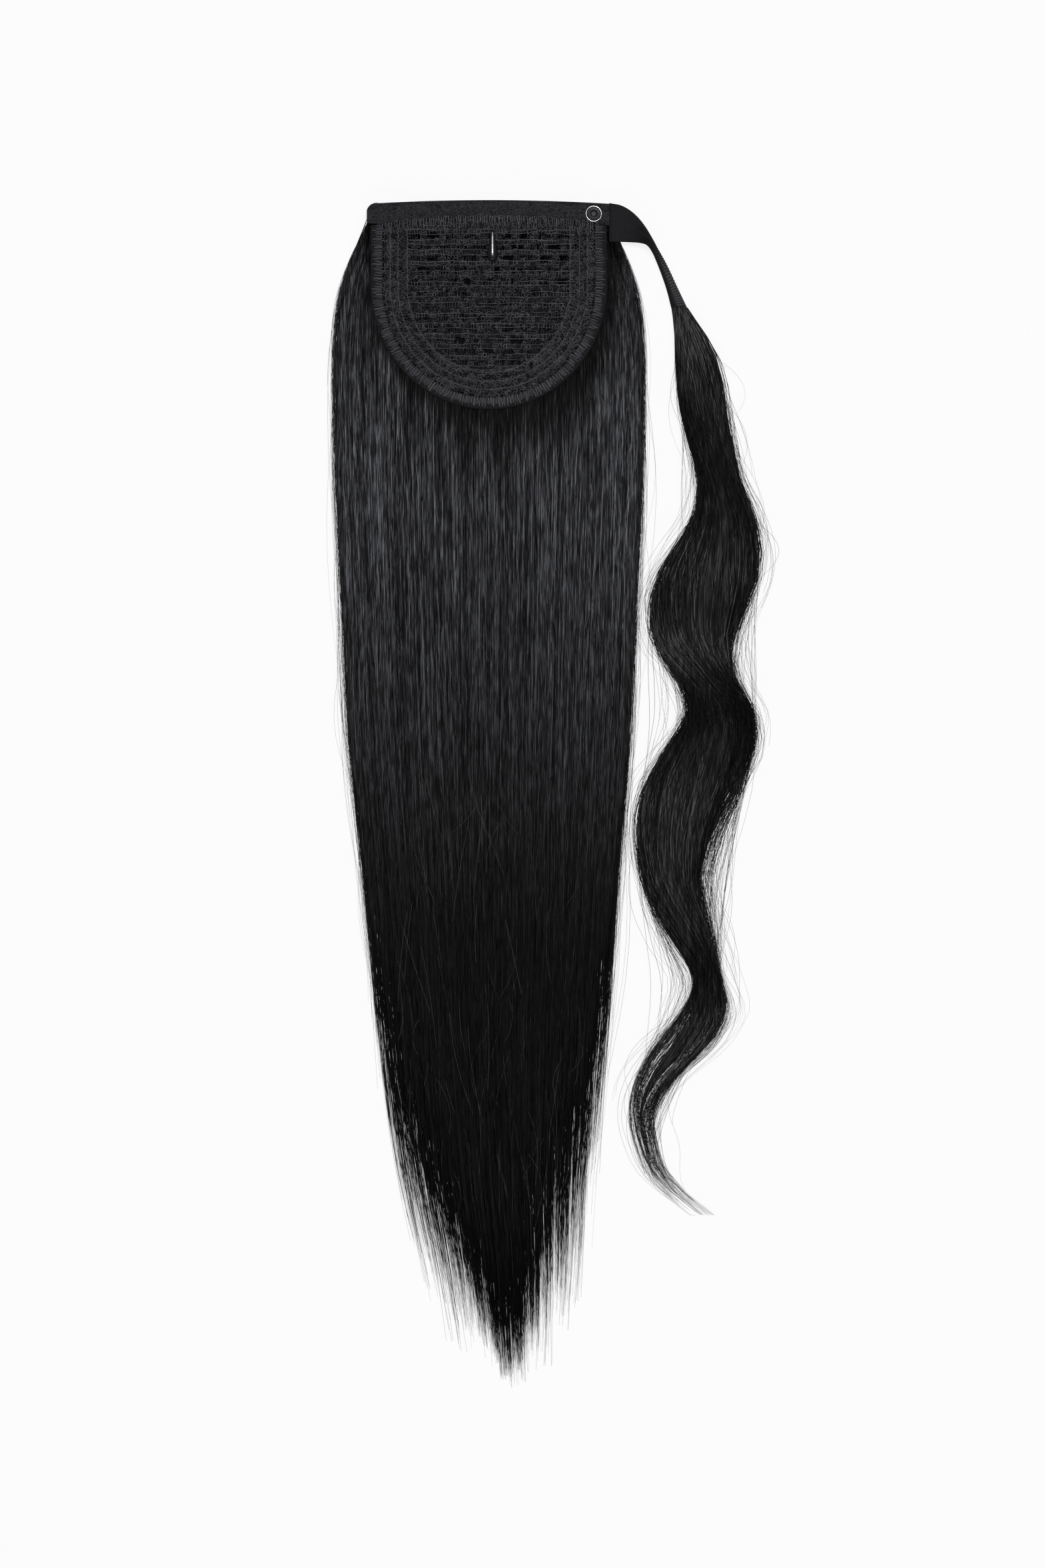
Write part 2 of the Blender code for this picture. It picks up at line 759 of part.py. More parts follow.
def make_wrap_strap(cloth, collection):
    """The tape from the band's end to the tress, wide and thin first, then folded into a thick neck."""
    start = Vector((band_right() + PIECE_GAP, band_top(band_right()) - STRAP_WIDTH / 2 - STRAP_TOP_INSET))
    end = Vector((tress_section(0.0)[0], -STRAP_DROP))
    lift = base_floor(band_right(), start.y)
    places = []
    for across, down, wide, high in STRAP[1:]:
        x = start.x + (end.x - start.x) * across
        y = start.y + (end.y - start.y) * down
        width = STRAP_NECK_WIDTH + (STRAP_WIDTH - STRAP_NECK_WIDTH) * wide
        thick = STRAP_NECK_THICKNESS + (STRAP_THICKNESS - STRAP_NECK_THICKNESS) * wide
        places.append((x, y, width, thick, lift * high))
    places.append((end.x, end.y, STRAP_END_WIDTH, 2 * STRAP_THICKNESS, 0.0))
    rings = []
    for i, (x, y, width, thick, low) in enumerate(places):
        before, after = places[max(i - 1, 0)], places[min(i + 1, len(places) - 1)]
        along = Vector((after[0] - before[0], after[1] - before[1])).normalized()
        if i == 0:
            along = Vector((1.0, 0.0))
        if i == len(places) - 1:
            along = Vector((0.0, -1.0))
        across = Vector((-along.y, along.x))
        ring = []
        for out, up in STRAP_SECTION[1:]:
            px, py = x + across.x * out * width / 2, y + across.y * out * width / 2
            ring.append((px, py, low + up * thick))
        rings.append(ring)
    return new_object("wrap_strap", loft(rings), cloth, collection)


# The whole


def stand_on_origin(collection):
    """Hangs every piece on one empty, placed so that the box's bottom centre is the world's origin."""
    bpy.context.view_layer.update()
    corners = []
    for obj in collection.objects:
        corners += [obj.matrix_world @ vertex.co for vertex in obj.data.vertices]
    low = Vector([min(point[k] for point in corners) for k in range(3)])
    high = Vector([max(point[k] for point in corners) for k in range(3)])
    origin = bpy.data.objects.new("hairpiece_origin", None)
    collection.objects.link(origin)
    for obj in collection.objects:
        if obj is not origin:
            obj.parent = origin
    origin.location = (-(low.x + high.x) / 2, -(low.y + high.y) / 2, -low.z)


def main():
    clear_scene()
    pieces = new_collection("ponytail_hairpiece")
    cutters = new_collection("cutters")
    hair = material("black_hair", BLACK_HAIR, 0.45)
    net_thread = material("net_thread", BLACK_CLOTH, 0.85)
    felt = material("band_felt", BLACK_CLOTH, 0.9)
    tape = material("ribbed_tape", BLACK_CLOTH, 0.8)
    dark = material("dark_gloss", (0.01, 0.01, 0.01), 0.2)
    silver = material("silver", (0.7, 0.7, 0.72), 0.25, 1.0)

    make_hair_fall(hair, pieces)
    make_cap_net(net_thread, pieces, cutters)
    make_edge_binding(net_thread, pieces)
    make_top_band(felt, pieces)
    make_band_fold(felt, pieces)
    make_hook(dark, silver, pieces, cutters)
    make_snap(dark, silver, pieces)
    make_wrap_strap(tape, pieces)
    make_wrap_tress(hair, pieces)
    hide_cutters(cutters)
    stand_on_origin(pieces)


main()
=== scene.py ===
"""The looks of the ponytail hairpiece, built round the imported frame.

Everything is worked out in a work frame: x = 0 in the middle of the base, y = 0 at the top edge of its
band, z = 0 on the floor, in metres. finish_mesh moves each piece from there to the frame's own place.
"""

import math

import bpy
import mathutils
import numpy as np
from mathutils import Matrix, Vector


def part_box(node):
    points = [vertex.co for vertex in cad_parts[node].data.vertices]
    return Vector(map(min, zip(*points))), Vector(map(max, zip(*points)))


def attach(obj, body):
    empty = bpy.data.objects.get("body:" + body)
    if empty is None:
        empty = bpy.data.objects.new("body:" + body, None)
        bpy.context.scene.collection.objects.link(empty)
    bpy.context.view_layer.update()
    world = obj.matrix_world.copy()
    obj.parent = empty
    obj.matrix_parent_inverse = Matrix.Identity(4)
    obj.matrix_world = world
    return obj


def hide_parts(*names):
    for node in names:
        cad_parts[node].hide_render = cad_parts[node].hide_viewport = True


RANDOM_SEED = 11

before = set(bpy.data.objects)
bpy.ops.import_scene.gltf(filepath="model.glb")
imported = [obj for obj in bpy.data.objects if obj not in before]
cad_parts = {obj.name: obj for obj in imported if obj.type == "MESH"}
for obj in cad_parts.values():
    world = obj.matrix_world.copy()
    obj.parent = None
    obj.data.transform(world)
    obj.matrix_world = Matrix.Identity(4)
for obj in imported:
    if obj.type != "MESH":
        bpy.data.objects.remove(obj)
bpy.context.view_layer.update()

binding_low, binding_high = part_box("edge_binding")
band_low, band_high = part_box("top_band")
fall_low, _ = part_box("hair_fall")

# Where the work frame's origin is
ORIGIN = np.array(((binding_low.x + binding_high.x) / 2, band_high.y, 0.0))

# Sizes that the frame gives
BASE_WIDTH = binding_high.x - binding_low.x
BASE_DEPTH = band_high.y - binding_low.y
HAIR_LENGTH = band_high.y - fall_low.y

# The base, as the solids have it
PIECE_GAP = 0.0003
BASE_ROUND = 0.0530
BINDING_WIDTH = 0.0054
BINDING_THICKNESS = 0.0022
BAND_HEIGHT = 0.0106
BAND_ARCH = 0.0034
BAND_BOW = 0.0012
BAND_THICKNESS = 0.0016
BAND_OVERHANG_LEFT = 0.0017
BAND_OVERHANG_RIGHT = 0.0009
FOLD_WIDTH = 0.0050
FOLD_THICKNESS = 0.0026
FOLD_CORNER = 0.0042
NET_THICKNESS = 0.0014
NET_RIM = 0.0034
NET_ROW_PITCH = 0.0050
NET_COLUMN_PITCH = 0.0080
NET_GAP_HEIGHT = 0.0029
NET_GAP_WIDTH = 0.0050
TURN = -BASE_DEPTH + BASE_ROUND
HOOK_LENGTH = 0.0140
HOOK_WIDTH = 0.0048
HOOK_THICKNESS = 0.0024
HOOK_DROP = 0.0056
HOOK_OFFSET = 0.0016
BAR_LENGTH = 0.0105
BAR_WIDTH = 0.0016
BAR_RISE = 0.0005
SNAP_RADIUS = 0.0036
SNAP_WIRE = 0.0007
SNAP_HEIGHT = 0.0012
SNAP_FROM_END = 0.0066
SNAP_FROM_TOP = 0.0059

# The hair, as the solids have it
HAIR_WIDTH = 0.132
HAIR_THICKNESS = 0.0110
HAIR_SIDE_SAG = 0.0033
STRAP_DROP = 0.0446
TRESS_LENGTH = 0.389
TRESS_SWAY = 0.0177
TRESS_WIDTH = 0.0436
TRESS_THICKNESS = 0.0115
TRESS_CLEARANCE = 0.0052

# The photograph: its scale, and the pixel of the work frame's origin in its 1568 x 2352 pixels
PIXEL = 0.0002846
PHOTO_WIDTH = 1568
PHOTO_HEIGHT = 2352
ORIGIN_PIXEL = (733.5, 300.0)

# The hair's outline. along: share of HAIR_LENGTH. half: of half HAIR_WIDTH. axis: of half HAIR_WIDTH,
# to the right. depth: of HAIR_THICKNESS
FALL = (
    ("along", "half", "axis", "depth"),
    (0.000, 0.78, 0.00, 0.50),
    (0.022, 0.81, 0.00, 0.58),
    (0.045, 0.89, 0.00, 0.66),
    (0.078, 0.97, 0.00, 0.76),
    (0.120, 1.00, 0.00, 0.88),
    (0.170, 1.00, 0.00, 0.97),
    (0.240, 0.99, 0.00, 1.00),
    (0.350, 0.95, 0.00, 0.98),
    (0.450, 0.91, 0.00, 0.92),
    (0.550, 0.84, 0.01, 0.84),
    (0.650, 0.78, 0.02, 0.76),
    (0.740, 0.72, 0.03, 0.67),
    (0.820, 0.65, 0.05, 0.56),
    (0.900, 0.56, 0.10, 0.44),
    (1.000, 0.44, 0.14, 0.26),
)

# Where the hair stops being dense. across: share of its half width. along: share of HAIR_LENGTH
DENSE = (
    ("across", "along"),
    (0.00, 0.978),
    (0.10, 0.966),
    (0.30, 0.936),
    (0.48, 0.900),
    (0.70, 0.855),
    (0.77, 0.825),
    (0.83, 0.778),
    (0.90, 0.720),
    (0.98, 0.640),
    (1.05, 0.540),
)

# Where the last wisps end, in the same shares, from the left edge to the right
WISPS = (
    ("across", "along"),
    (-1.05, 0.925),
    (-0.76, 0.960),
    (-0.53, 0.973),
    (-0.26, 0.987),
    (0.02, 1.000),
    (0.34, 0.990),
    (0.76, 0.962),
    (0.89, 0.922),
    (1.05, 0.885),
)

# The painted shade under the base's edge. across: share of half BASE_WIDTH. reach: how far it falls, as a
# share of BASE_ROUND
ROOT_SHADE = (
    ("across", "reach"),
    (-1.15, 0.030),
    (-0.60, 0.045),
    (-0.32, 0.120),
    (-0.19, 0.480),
    (-0.05, 0.150),
    (0.14, 0.400),
    (0.30, 0.120),
    (0.52, 0.330),
    (0.68, 0.300),
    (0.86, 0.200),
    (1.15, 0.060),
)

# The tress. along: share of TRESS_LENGTH. sway: of TRESS_SWAY, to the right. width: of TRESS_WIDTH
TRESS = (
    ("along", "sway", "width"),
    (0.000, -0.08, 0.15),
    (0.031, 0.18, 0.29),
    (0.064, 0.35, 0.40),
    (0.110, 0.49, 0.44),
    (0.156, 0.71, 0.42),
    (0.192, 0.89, 0.42),
    (0.229, 1.00, 0.58),
    (0.265, 0.85, 0.84),
    (0.302, 0.56, 1.00),
    (0.338, 0.33, 0.94),
    (0.375, 0.25, 0.76),
    (0.412, 0.59, 0.59),
    (0.448, 0.92, 0.67),
    (0.485, 0.69, 0.88),
    (0.521, 0.27, 0.95),
    (0.558, -0.07, 0.87),
    (0.594, -0.25, 0.73),
    (0.631, -0.27, 0.59),
    (0.667, -0.04, 0.52),
    (0.704, 0.30, 0.40),
    (0.741, 0.62, 0.27),
    (0.777, 0.52, 0.48),
    (0.814, -0.04, 0.58),
    (0.850, -0.69, 0.38),
    (0.887, -1.00, 0.19),
    (0.923, -0.88, 0.14),
    (0.960, -0.55, 0.08),
    (1.000, 0.45, 0.04),
)

# The strap's two edges in the photograph's pixels, from the band to the tress. fold: 0 flat, 1 folded in
# three. low: height of its underside, as a share of the band's
STRAP = (
    ("share", "outer_x", "outer_y", "inner_x", "inner_y", "fold", "low"),
    (0.00, 914, 304, 914, 362, 0.00, 1.00),
    (0.13, 933, 308, 931, 362, 0.00, 1.00),
    (0.26, 951, 319, 948, 363, 0.08, 0.92),
    (0.37, 966, 335, 961, 365, 0.35, 0.74),
    (0.48, 979, 355, 972, 369, 0.70, 0.50),
    (0.60, 991, 377, 982, 383, 0.92, 0.26),
    (0.72, 1003, 399, 992, 406, 1.00, 0.10),
    (0.84, 1016, 426, 1001, 433, 1.00, 0.02),
    (1.00, 1031, 457, 1008, 460, 1.00, 0.00),
)


# Reading the tables


def column(table, name):
    """The numbers of one named column."""
    return np.array([row[table[0].index(name)] for row in table[1:]], float)


def read(table, name, place):
    """The named column at these places of the table's first column, on a smooth curve through its rows."""
    places = column(table, table[0][0])
    values = column(table, name)
    last = len(places) - 1
    k = np.arange(len(places))
    low, high = np.maximum(k - 1, 0), np.minimum(k + 1, last)
    slopes = (values[high] - values[low]) / (places[high] - places[low])
    at = np.clip(place, places[0], places[-1])
    i = np.clip(np.searchsorted(places, at, side="right") - 1, 0, last - 1)
    step = places[i + 1] - places[i]
    t = (at - places[i]) / step
    start = values[i] * (1 + 2 * t) * (1 - t) ** 2 + slopes[i] * step * t * (1 - t) ** 2
    end = values[i + 1] * t * t * (3 - 2 * t) + slopes[i + 1] * step * t * t * (t - 1)
    return start + end


def ease(low, high, value):
    """A soft step: 0 up to low, 1 from high on."""
    t = np.clip((value - low) / (high - low), 0.0, 1.0)
    return t * t * (3 - 2 * t)


def from_pixel(px, py):
    """A place of the photograph in the work frame."""
    return (px - ORIGIN_PIXEL[0]) * PIXEL, (ORIGIN_PIXEL[1] - py) * PIXEL


# The lie of the hair and of the base on it


def hair_top(x, y):
    """Height of the main hair's face."""
    depth = HAIR_THICKNESS * read(FALL, "depth", -y / HAIR_LENGTH)
    return depth - HAIR_SIDE_SAG * (2 * x / HAIR_WIDTH) ** 2


def base_floor(x, y):
    """Height of the underside of the base's pieces."""
    return hair_top(x, y) + PIECE_GAP


def band_top(x):
    """The band's upper edge, bowed down towards its ends."""
    return -BAND_BOW * (2 * x / BASE_WIDTH) ** 2


def band_bottom(x):
    """The band's lower edge, arched up in the middle."""
    return -BAND_HEIGHT + BAND_ARCH * (1 - (2 * x / BASE_WIDTH) ** 2)


def base_half(y, inset):
    """Half the width of the U at this height of the page, moved in by inset. Zero below it."""
    inside = 1 - np.maximum((TURN - y) / (BASE_ROUND - inset), 0.0) ** 2
    return (BASE_WIDTH / 2 - inset) * np.sqrt(np.maximum(inside, 0.0))


def u_path(inset, steps):
    """The base's edge, moved in by inset, from its upper left round the bottom to its upper right."""
    half = BASE_WIDTH / 2 - inset
    depth = BASE_ROUND - inset
    top = float(band_bottom(half)) - PIECE_GAP
    dense = np.linspace(math.pi, 2 * math.pi, 400)
    x = np.concatenate([[-half], half * np.cos(dense), [half]])
    y = np.concatenate([[top], TURN + depth * np.sin(dense), [top]])
    run = np.concatenate([[0.0], np.cumsum(np.hypot(np.diff(x), np.diff(y)))])
    at = np.linspace(0.0, run[-1], steps + 1)
    return np.stack([np.interp(at, run, x), np.interp(at, run, y)], axis=1), run[-1]


# Making meshes


def finish_mesh(name, vertices, quads, triangles, material, tone=None):
    """A piece from arrays of vertices in the work frame and of faces, riding on the root body."""
    mesh = bpy.data.meshes.new(name)
    vertices = np.asarray(vertices, float).reshape(-1, 3) + ORIGIN
    quads = np.asarray(quads, np.int32).reshape(-1, 4)
    triangles = np.asarray(triangles, np.int32).reshape(-1, 3)
    mesh.vertices.add(len(vertices))
    mesh.vertices.foreach_set("co", vertices.astype(np.float32).ravel())
    loops = np.concatenate([quads.ravel(), triangles.ravel()])
    mesh.loops.add(len(loops))
    mesh.loops.foreach_set("vertex_index", loops)
    quad_starts = 4 * np.arange(len(quads))
    starts = np.concatenate([quad_starts, 4 * len(quads) + 3 * np.arange(len(triangles))])
    mesh.polygons.add(len(starts))
    mesh.polygons.foreach_set("loop_start", starts.astype(np.int32))
    mesh.polygons.foreach_set("use_smooth", np.full(len(starts), True))
    mesh.update(calc_edges=True)
    if tone is not None:
        attribute = mesh.attributes.new("tone", "FLOAT", "POINT")
        attribute.data.foreach_set("value", np.asarray(tone, np.float32))
    mesh.materials.append(material)
    obj = bpy.data.objects.new(name, mesh)
    bpy.context.scene.collection.objects.link(obj)
    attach(obj, "root")
    return obj


def tube_arrays(paths, radii, sides=3):
    """Closed tubes along many paths of equally many points. paths: (tubes, points, 3)."""
    count, points, _ = paths.shape
    radii = np.broadcast_to(radii, (count, points))
    along = np.empty_like(paths)
    along[:, 1:-1] = paths[:, 2:] - paths[:, :-2]
    along[:, 0] = paths[:, 1] - paths[:, 0]
    along[:, -1] = paths[:, -1] - paths[:, -2]
    along /= np.maximum(np.linalg.norm(along, axis=2, keepdims=True), 1e-12)
    side = np.cross(along, np.array((0.0, 0.0, 1.0)))
    length = np.linalg.norm(side, axis=2, keepdims=True)
    side = np.where(length > 1e-4, side / np.maximum(length, 1e-12), np.array((1.0, 0.0, 0.0)))
    over = np.cross(side, along)
    angles = 2 * math.pi * np.arange(sides) / sides + math.pi / 2
    ring = paths[:, :, None, :] + radii[:, :, None, None] * (
        np.cos(angles)[None, None, :, None] * side[:, :, None, :]
        + np.sin(angles)[None, None, :, None] * over[:, :, None, :]
    )
    index = np.arange(count * points * sides).reshape(count, points, sides)
    near, far = index[:, :-1], index[:, 1:]
    quads = np.stack([near, far, np.roll(far, -1, axis=2), np.roll(near, -1, axis=2)], axis=3)
    caps = []
    for k in range(1, sides - 1):
        caps.append(np.stack([index[:, 0, 0], index[:, 0, k], index[:, 0, k + 1]], axis=1))
        caps.append(np.stack([index[:, -1, 0], index[:, -1, k + 1], index[:, -1, k]], axis=1))
    return ring.reshape(-1, 3), quads.reshape(-1, 4), np.concatenate(caps)


def tubes(name, groups, material, sides=3):
    """One piece of many tubes. groups: (paths, radii, tone of all, of each tube or of each point)."""
    all_vertices, all_quads, all_caps, all_tones = [], [], [], []
    start = 0
    for paths, radii, tone in groups:
        vertices, quads, caps = tube_arrays(paths, radii, sides)
        tone = np.asarray(tone, float)
        tone = np.broadcast_to(tone[:, None] if tone.ndim == 1 else tone, paths.shape[:2])
        all_vertices.append(vertices)
        all_quads.append(quads + start)
        all_caps.append(caps + start)
        all_tones.append(np.repeat(tone.ravel(), sides))
        start += len(vertices)
    return finish_mesh(
        name,
        np.concatenate(all_vertices),
        np.concatenate(all_quads),
        np.concatenate(all_caps),
        material,
        np.concatenate(all_tones),
    )


def ring_quads(count, points):
    """The index of each point of so many rings, and the quads between each ring and the next."""
    index = np.arange(count * points).reshape(count, points)
    near, far = index[:-1], index[1:]
    quads = np.stack([near, np.roll(near, -1, axis=1), np.roll(far, -1, axis=1), far], axis=2)
    return index, quads.reshape(-1, 4)


def ring_loft(name, rings, material, tone=None):
    """A closed body through rings of equally many points: (rings, points, 3), with flat ends."""
    count, points, _ = rings.shape
    index, quads = ring_quads(count, points)
    caps = []
    for k in range(1, points - 1):
        caps.append((index[0, 0], index[0, k + 1], index[0, k]))
        caps.append((index[-1, 0], index[-1, k], index[-1, k + 1]))
    caps = np.array(caps)
    if loft_is_inside_out(rings):
        quads, caps = quads[:, ::-1], caps[:, ::-1]
    obj = finish_mesh(name, rings, quads, caps, material, tone)
    obj.data.set_sharp_from_angle(angle=math.radians(50))
    return obj


def loft_is_inside_out(rings):
    """Whether the rings run the wrong way round for faces that point out."""
    middle = len(rings) // 2
    ring = rings[middle]
    ahead = rings[middle + 1].mean(axis=0) - rings[middle - 1].mean(axis=0)
    area = np.cross(ring - ring.mean(axis=0), np.roll(ring, -1, axis=0) - ring.mean(axis=0)).sum(axis=0)
    return float(area @ ahead) < 0


# Materials


def node_material(name, roughness, metallic=0.0, specular=0.5):
    made = bpy.data.materials.new(name)
    made.use_nodes = True
    shader = made.node_tree.nodes["Principled BSDF"]
    shader.inputs["Roughness"].default_value = roughness
    shader.inputs["Metallic"].default_value = metallic
    shader.inputs["Specular IOR Level"].default_value = specular
    return made, made.node_tree.nodes, made.node_tree.links, shader


def stretched_noise(nodes, links, scale, detail=3.0):
    """A noise over the object's own coordinates, scaled differently along x, y and z."""
    where = nodes.new("ShaderNodeTexCoord")
    mapping = nodes.new("ShaderNodeMapping")
    mapping.inputs["Scale"].default_value = scale
    noise = nodes.new("ShaderNodeTexNoise")
    noise.inputs["Scale"].default_value = 1.0
    noise.inputs["Detail"].default_value = detail
    links.new(where.outputs["Object"], mapping.inputs["Vector"])
    links.new(mapping.outputs["Vector"], noise.inputs["Vector"])
    return noise.outputs["Fac"]


def maths(nodes, links, operation, first, second):
    node = nodes.new("ShaderNodeMath")
    node.operation = operation
    for socket, value in zip(node.inputs, (first, second)):
        if isinstance(value, (int, float)):
            socket.default_value = value
        else:
            links.new(value, socket)
    return node.outputs["Value"]


def ramp(nodes, links, value, stops):
    """A colour ramp. stops: (place, colour)."""
    node = nodes.new("ShaderNodeValToRGB")
    elements = node.color_ramp.elements
    while len(elements) < len(stops):
        elements.new(1.0)
    for element, (place, colour) in zip(elements, stops):
        element.position = place
        element.color = (*colour, 1.0)
    links.new(value, node.inputs["Fac"])
    return node.outputs["Color"]


def bump(nodes, links, shader, height, strength, distance):
    node = nodes.new("ShaderNodeBump")
    node.inputs["Strength"].default_value = strength
    node.inputs["Distance"].default_value = distance
    links.new(height, node.inputs["Height"])
    links.new(node.outputs["Normal"], shader.inputs["Normal"])


def surface(nodes, links, shader, value, stops, relief, strength, distance):
    """Colours a material by a value, and gives it a fine relief."""
    links.new(ramp(nodes, links, value, stops), shader.inputs["Base Color"])
    bump(nodes, links, shader, relief, strength, distance)


def toned(nodes, links, noise, gain, shift):
    """The tone that each strand or thread carries, made uneven by a noise: gain times it, plus shift."""
    uneven = maths(nodes, links, "MULTIPLY_ADD", noise, gain)
    uneven.node.inputs[2].default_value = shift
    tone = nodes.new("ShaderNodeAttribute")
    tone.attribute_name = "tone"
    return maths(nodes, links, "ADD", uneven, tone.outputs["Fac"])


# The hair's colours: how bright a streak is, and its colour
FALL_TONES = (
    (0.0, (0.0010, 0.0010, 0.0010)),
    (0.30, (0.0130, 0.0132, 0.0145)),
    (0.60, (0.0610, 0.0625, 0.0690)),
    (1.0, (0.2180, 0.2240, 0.2490)),
)
TRESS_TONES = (
    (0.0, (0.0009, 0.0009, 0.0009)),
    (0.30, (0.0086, 0.0086, 0.0087)),
    (0.60, (0.0400, 0.0400, 0.0404)),
    (1.0, (0.1600, 0.1600, 0.1620)),
)


def hair_material(name, streaks, stops, sheen_fades):
    """Near-black hair: each strand's own tone, with short streaks; the last argument: whether a painted
    sheen lights its upper part, which darkens lower down.
    """
    made, nodes, links, shader = node_material(name, 0.50, specular=0.10)
    streak = stretched_noise(nodes, links, streaks)
    colour = ramp(nodes, links, toned(nodes, links, streak, 1.7, -0.87), stops)
    if sheen_fades:
        # Painted sheen: full colour down to a fifth of the hair's length, fading almost to black by two
        # thirds of it.
        place = nodes.new("ShaderNodeTexCoord")
        split = nodes.new("ShaderNodeSeparateXYZ")
        links.new(place.outputs["Object"], split.inputs["Vector"])
        sheen_fade = nodes.new("ShaderNodeMapRange")
        sheen_fade.interpolation_type = "SMOOTHSTEP"
        sheen_fade.inputs["From Min"].default_value = ORIGIN[1] - 0.65 * HAIR_LENGTH
        sheen_fade.inputs["From Max"].default_value = ORIGIN[1] - 0.20 * HAIR_LENGTH
        sheen_fade.inputs["To Min"].default_value = 0.05
        links.new(split.outputs["Y"], sheen_fade.inputs["Value"])
        mix = nodes.new("ShaderNodeMix")
        mix.data_type = "RGBA"
        mix.inputs["A"].default_value = (0.0014, 0.0014, 0.0014, 1.0)
        links.new(sheen_fade.outputs["Result"], mix.inputs["Factor"])
        links.new(colour, mix.inputs["B"])
        colour = mix.outputs["Result"]
    links.new(colour, shader.inputs["Base Color"])
    return made


def thread_material(name, dark, light, roughness=0.72):
    """Matt polyester thread: each stitch has its own tone, with a fine twist and fluff."""
    made, nodes, links, shader = node_material(name, roughness, specular=0.25)
    grain = stretched_noise(nodes, links, (2600, 2600, 2600))
    value = toned(nodes, links, grain, 0.8, -0.4)
    surface(nodes, links, shader, value, ((0.0, dark), (1.0, light)), grain, 0.5, 0.0002)
    return made


def felt_material():
    """The band's brushed face: a dense short nap with slightly lighter fibres."""
    made, nodes, links, shader = node_material("band_felt", 0.93, specular=0.12)
    fine = stretched_noise(nodes, links, (1300, 1300, 1300), 2.0)
    broad = stretched_noise(nodes, links, (160, 260, 160), 2.0)
    value = maths(nodes, links, "MULTIPLY", fine, 0.80)
    value = maths(nodes, links, "ADD", value, maths(nodes, links, "MULTIPLY", broad, 0.20))
    stops = ((0.36, (0.007, 0.007, 0.0085)), (0.64, (0.036, 0.036, 0.041)))
    surface(nodes, links, shader, value, stops, fine, 0.6, 0.0003)
    shader.inputs["Sheen Weight"].default_value = 0.05
    return made


def tape_material():
    """The strap's grosgrain: fine threads across its ribs, with painted shade between them and inside its
    fold.
    """
    made, nodes, links, shader = node_material("ribbed_tape", 0.80, specular=0.15)
    grain = stretched_noise(nodes, links, (3000, 3000, 3000), 2.0)
    value = toned(nodes, links, grain, 0.7, -0.35)
    stops = ((0.0, (0.0035, 0.0035, 0.004)), (0.5, (0.020, 0.020, 0.0225)), (1.0, (0.060, 0.060, 0.066)))
    surface(nodes, links, shader, value, stops, grain, 0.5, 0.0002)
    return made


def lacquer_material(name, roughness):
    """Black enamel with a trace of unevenness."""
    made, nodes, links, shader = node_material(name, roughness, specular=0.35)
    cloud = stretched_noise(nodes, links, (500, 500, 500), 2.0)
    stops = ((0.3, (0.002, 0.002, 0.0022)), (0.8, (0.007, 0.007, 0.008)))
    surface(nodes, links, shader, cloud, stops, cloud, 0.08, 0.0004)
    return made


def silver_material():
    """Bright plated wire with fine wear."""
    made, nodes, links, shader = node_material("silver", 0.28, metallic=1.0)
    cloud = stretched_noise(nodes, links, (1400, 1400, 1400), 3.0)
    stops = ((0.2, (0.62, 0.62, 0.64)), (0.8, (0.86, 0.86, 0.87)))
    surface(nodes, links, shader, cloud, stops, cloud, 0.12, 0.0002)
    return made


# The main hair

ROOT_TOP = 0.0020
LOCKS = 13
CLUMPS = 66
FACE_STRANDS = 1150
FACE_WISPS = 4800
TIP_STRANDS = 4500
FRINGE_STRANDS = 700
STRAY_STRANDS = 150
SLITS = 16


def below_base(x, y):
    """How far a place lies outside the base's edge."""
    outside = np.hypot(2 * x / BASE_WIDTH, np.maximum(TURN - y, 0.0) / BASE_ROUND) - 1.0
    return np.maximum(outside, 0.0) * BASE_ROUND


def painted_root_light(x, y):
    """Painted light and shade in the hair's tone near the base: dark right under its edge, a little darker
    over its crown, full light further off.
    """
    reach = read(ROOT_SHADE, "reach", 2 * x / BASE_WIDTH) * BASE_ROUND
    # crown: painted shade over the top of the hair, near the band
    crown = 0.78 + 0.22 * ease(0.08, 0.19, -y / HAIR_LENGTH)
    return crown * (0.08 + 0.92 * (1 - np.exp(-((below_base(x, y) / np.maximum(reach, 0.001)) ** 2))))


def fall_point(across, along, lift):
    """Points of the main hair. across: -1 its left edge, 1 its right. lift: 0 the floor, 1 its top."""
    reach = read(FALL, "half", along) * HAIR_WIDTH / 2
    x = read(FALL, "axis", along) * HAIR_WIDTH / 2 + across * reach
    y = -along * HAIR_LENGTH
    under_base = np.clip((BASE_WIDTH / 2 + 0.001) / reach, 0.78, 0.95)
    shoulder = np.where(along < 0.17, under_base, 0.78)
    over = np.clip((np.abs(across) - shoulder) / (1.01 - shoulder), 0.0, 1.0)
    top = hair_top(x, y) * np.sqrt(1 - 0.97 * over**2)
    return np.stack(np.broadcast_arrays(x, y, top * lift), axis=-1)


def spread_places(rng, count):
    """Middles of the locks across the hair, a little unevenly."""
    return np.linspace(-1.0, 1.0, count) + rng.uniform(-0.6, 0.6, count) / count


def nearest_place(across, places):
    """Which of the places each strand is nearest to."""
    return np.argmin(np.abs(across[:, None] - places[None, :]), axis=1)


def shares(points):
    """Places along every strand, 0 at its start and 1 at its end, as one row."""
    return np.linspace(0.0, 1.0, points)[None, :]


def tones(rng, middle, spread, count, low=0.05, high=1.0):
    """A tone for each strand or thread, kept between low and high."""
    return np.clip(rng.normal(middle, spread, count), low, high)


def wander(rng, along, size, swings):
    """Sideways drift of each strand as it runs down. swings: how many over the hair's whole length."""
    count = len(along)
    swing = rng.uniform(0.3, 1.0, (count, 1)) * size
    turns = rng.uniform(0.5, 1.0, (count, 1)) * swings
    phase = rng.uniform(0.0, 2 * math.pi, (count, 1))
    return swing * np.sin(2 * math.pi * turns * along + phase)


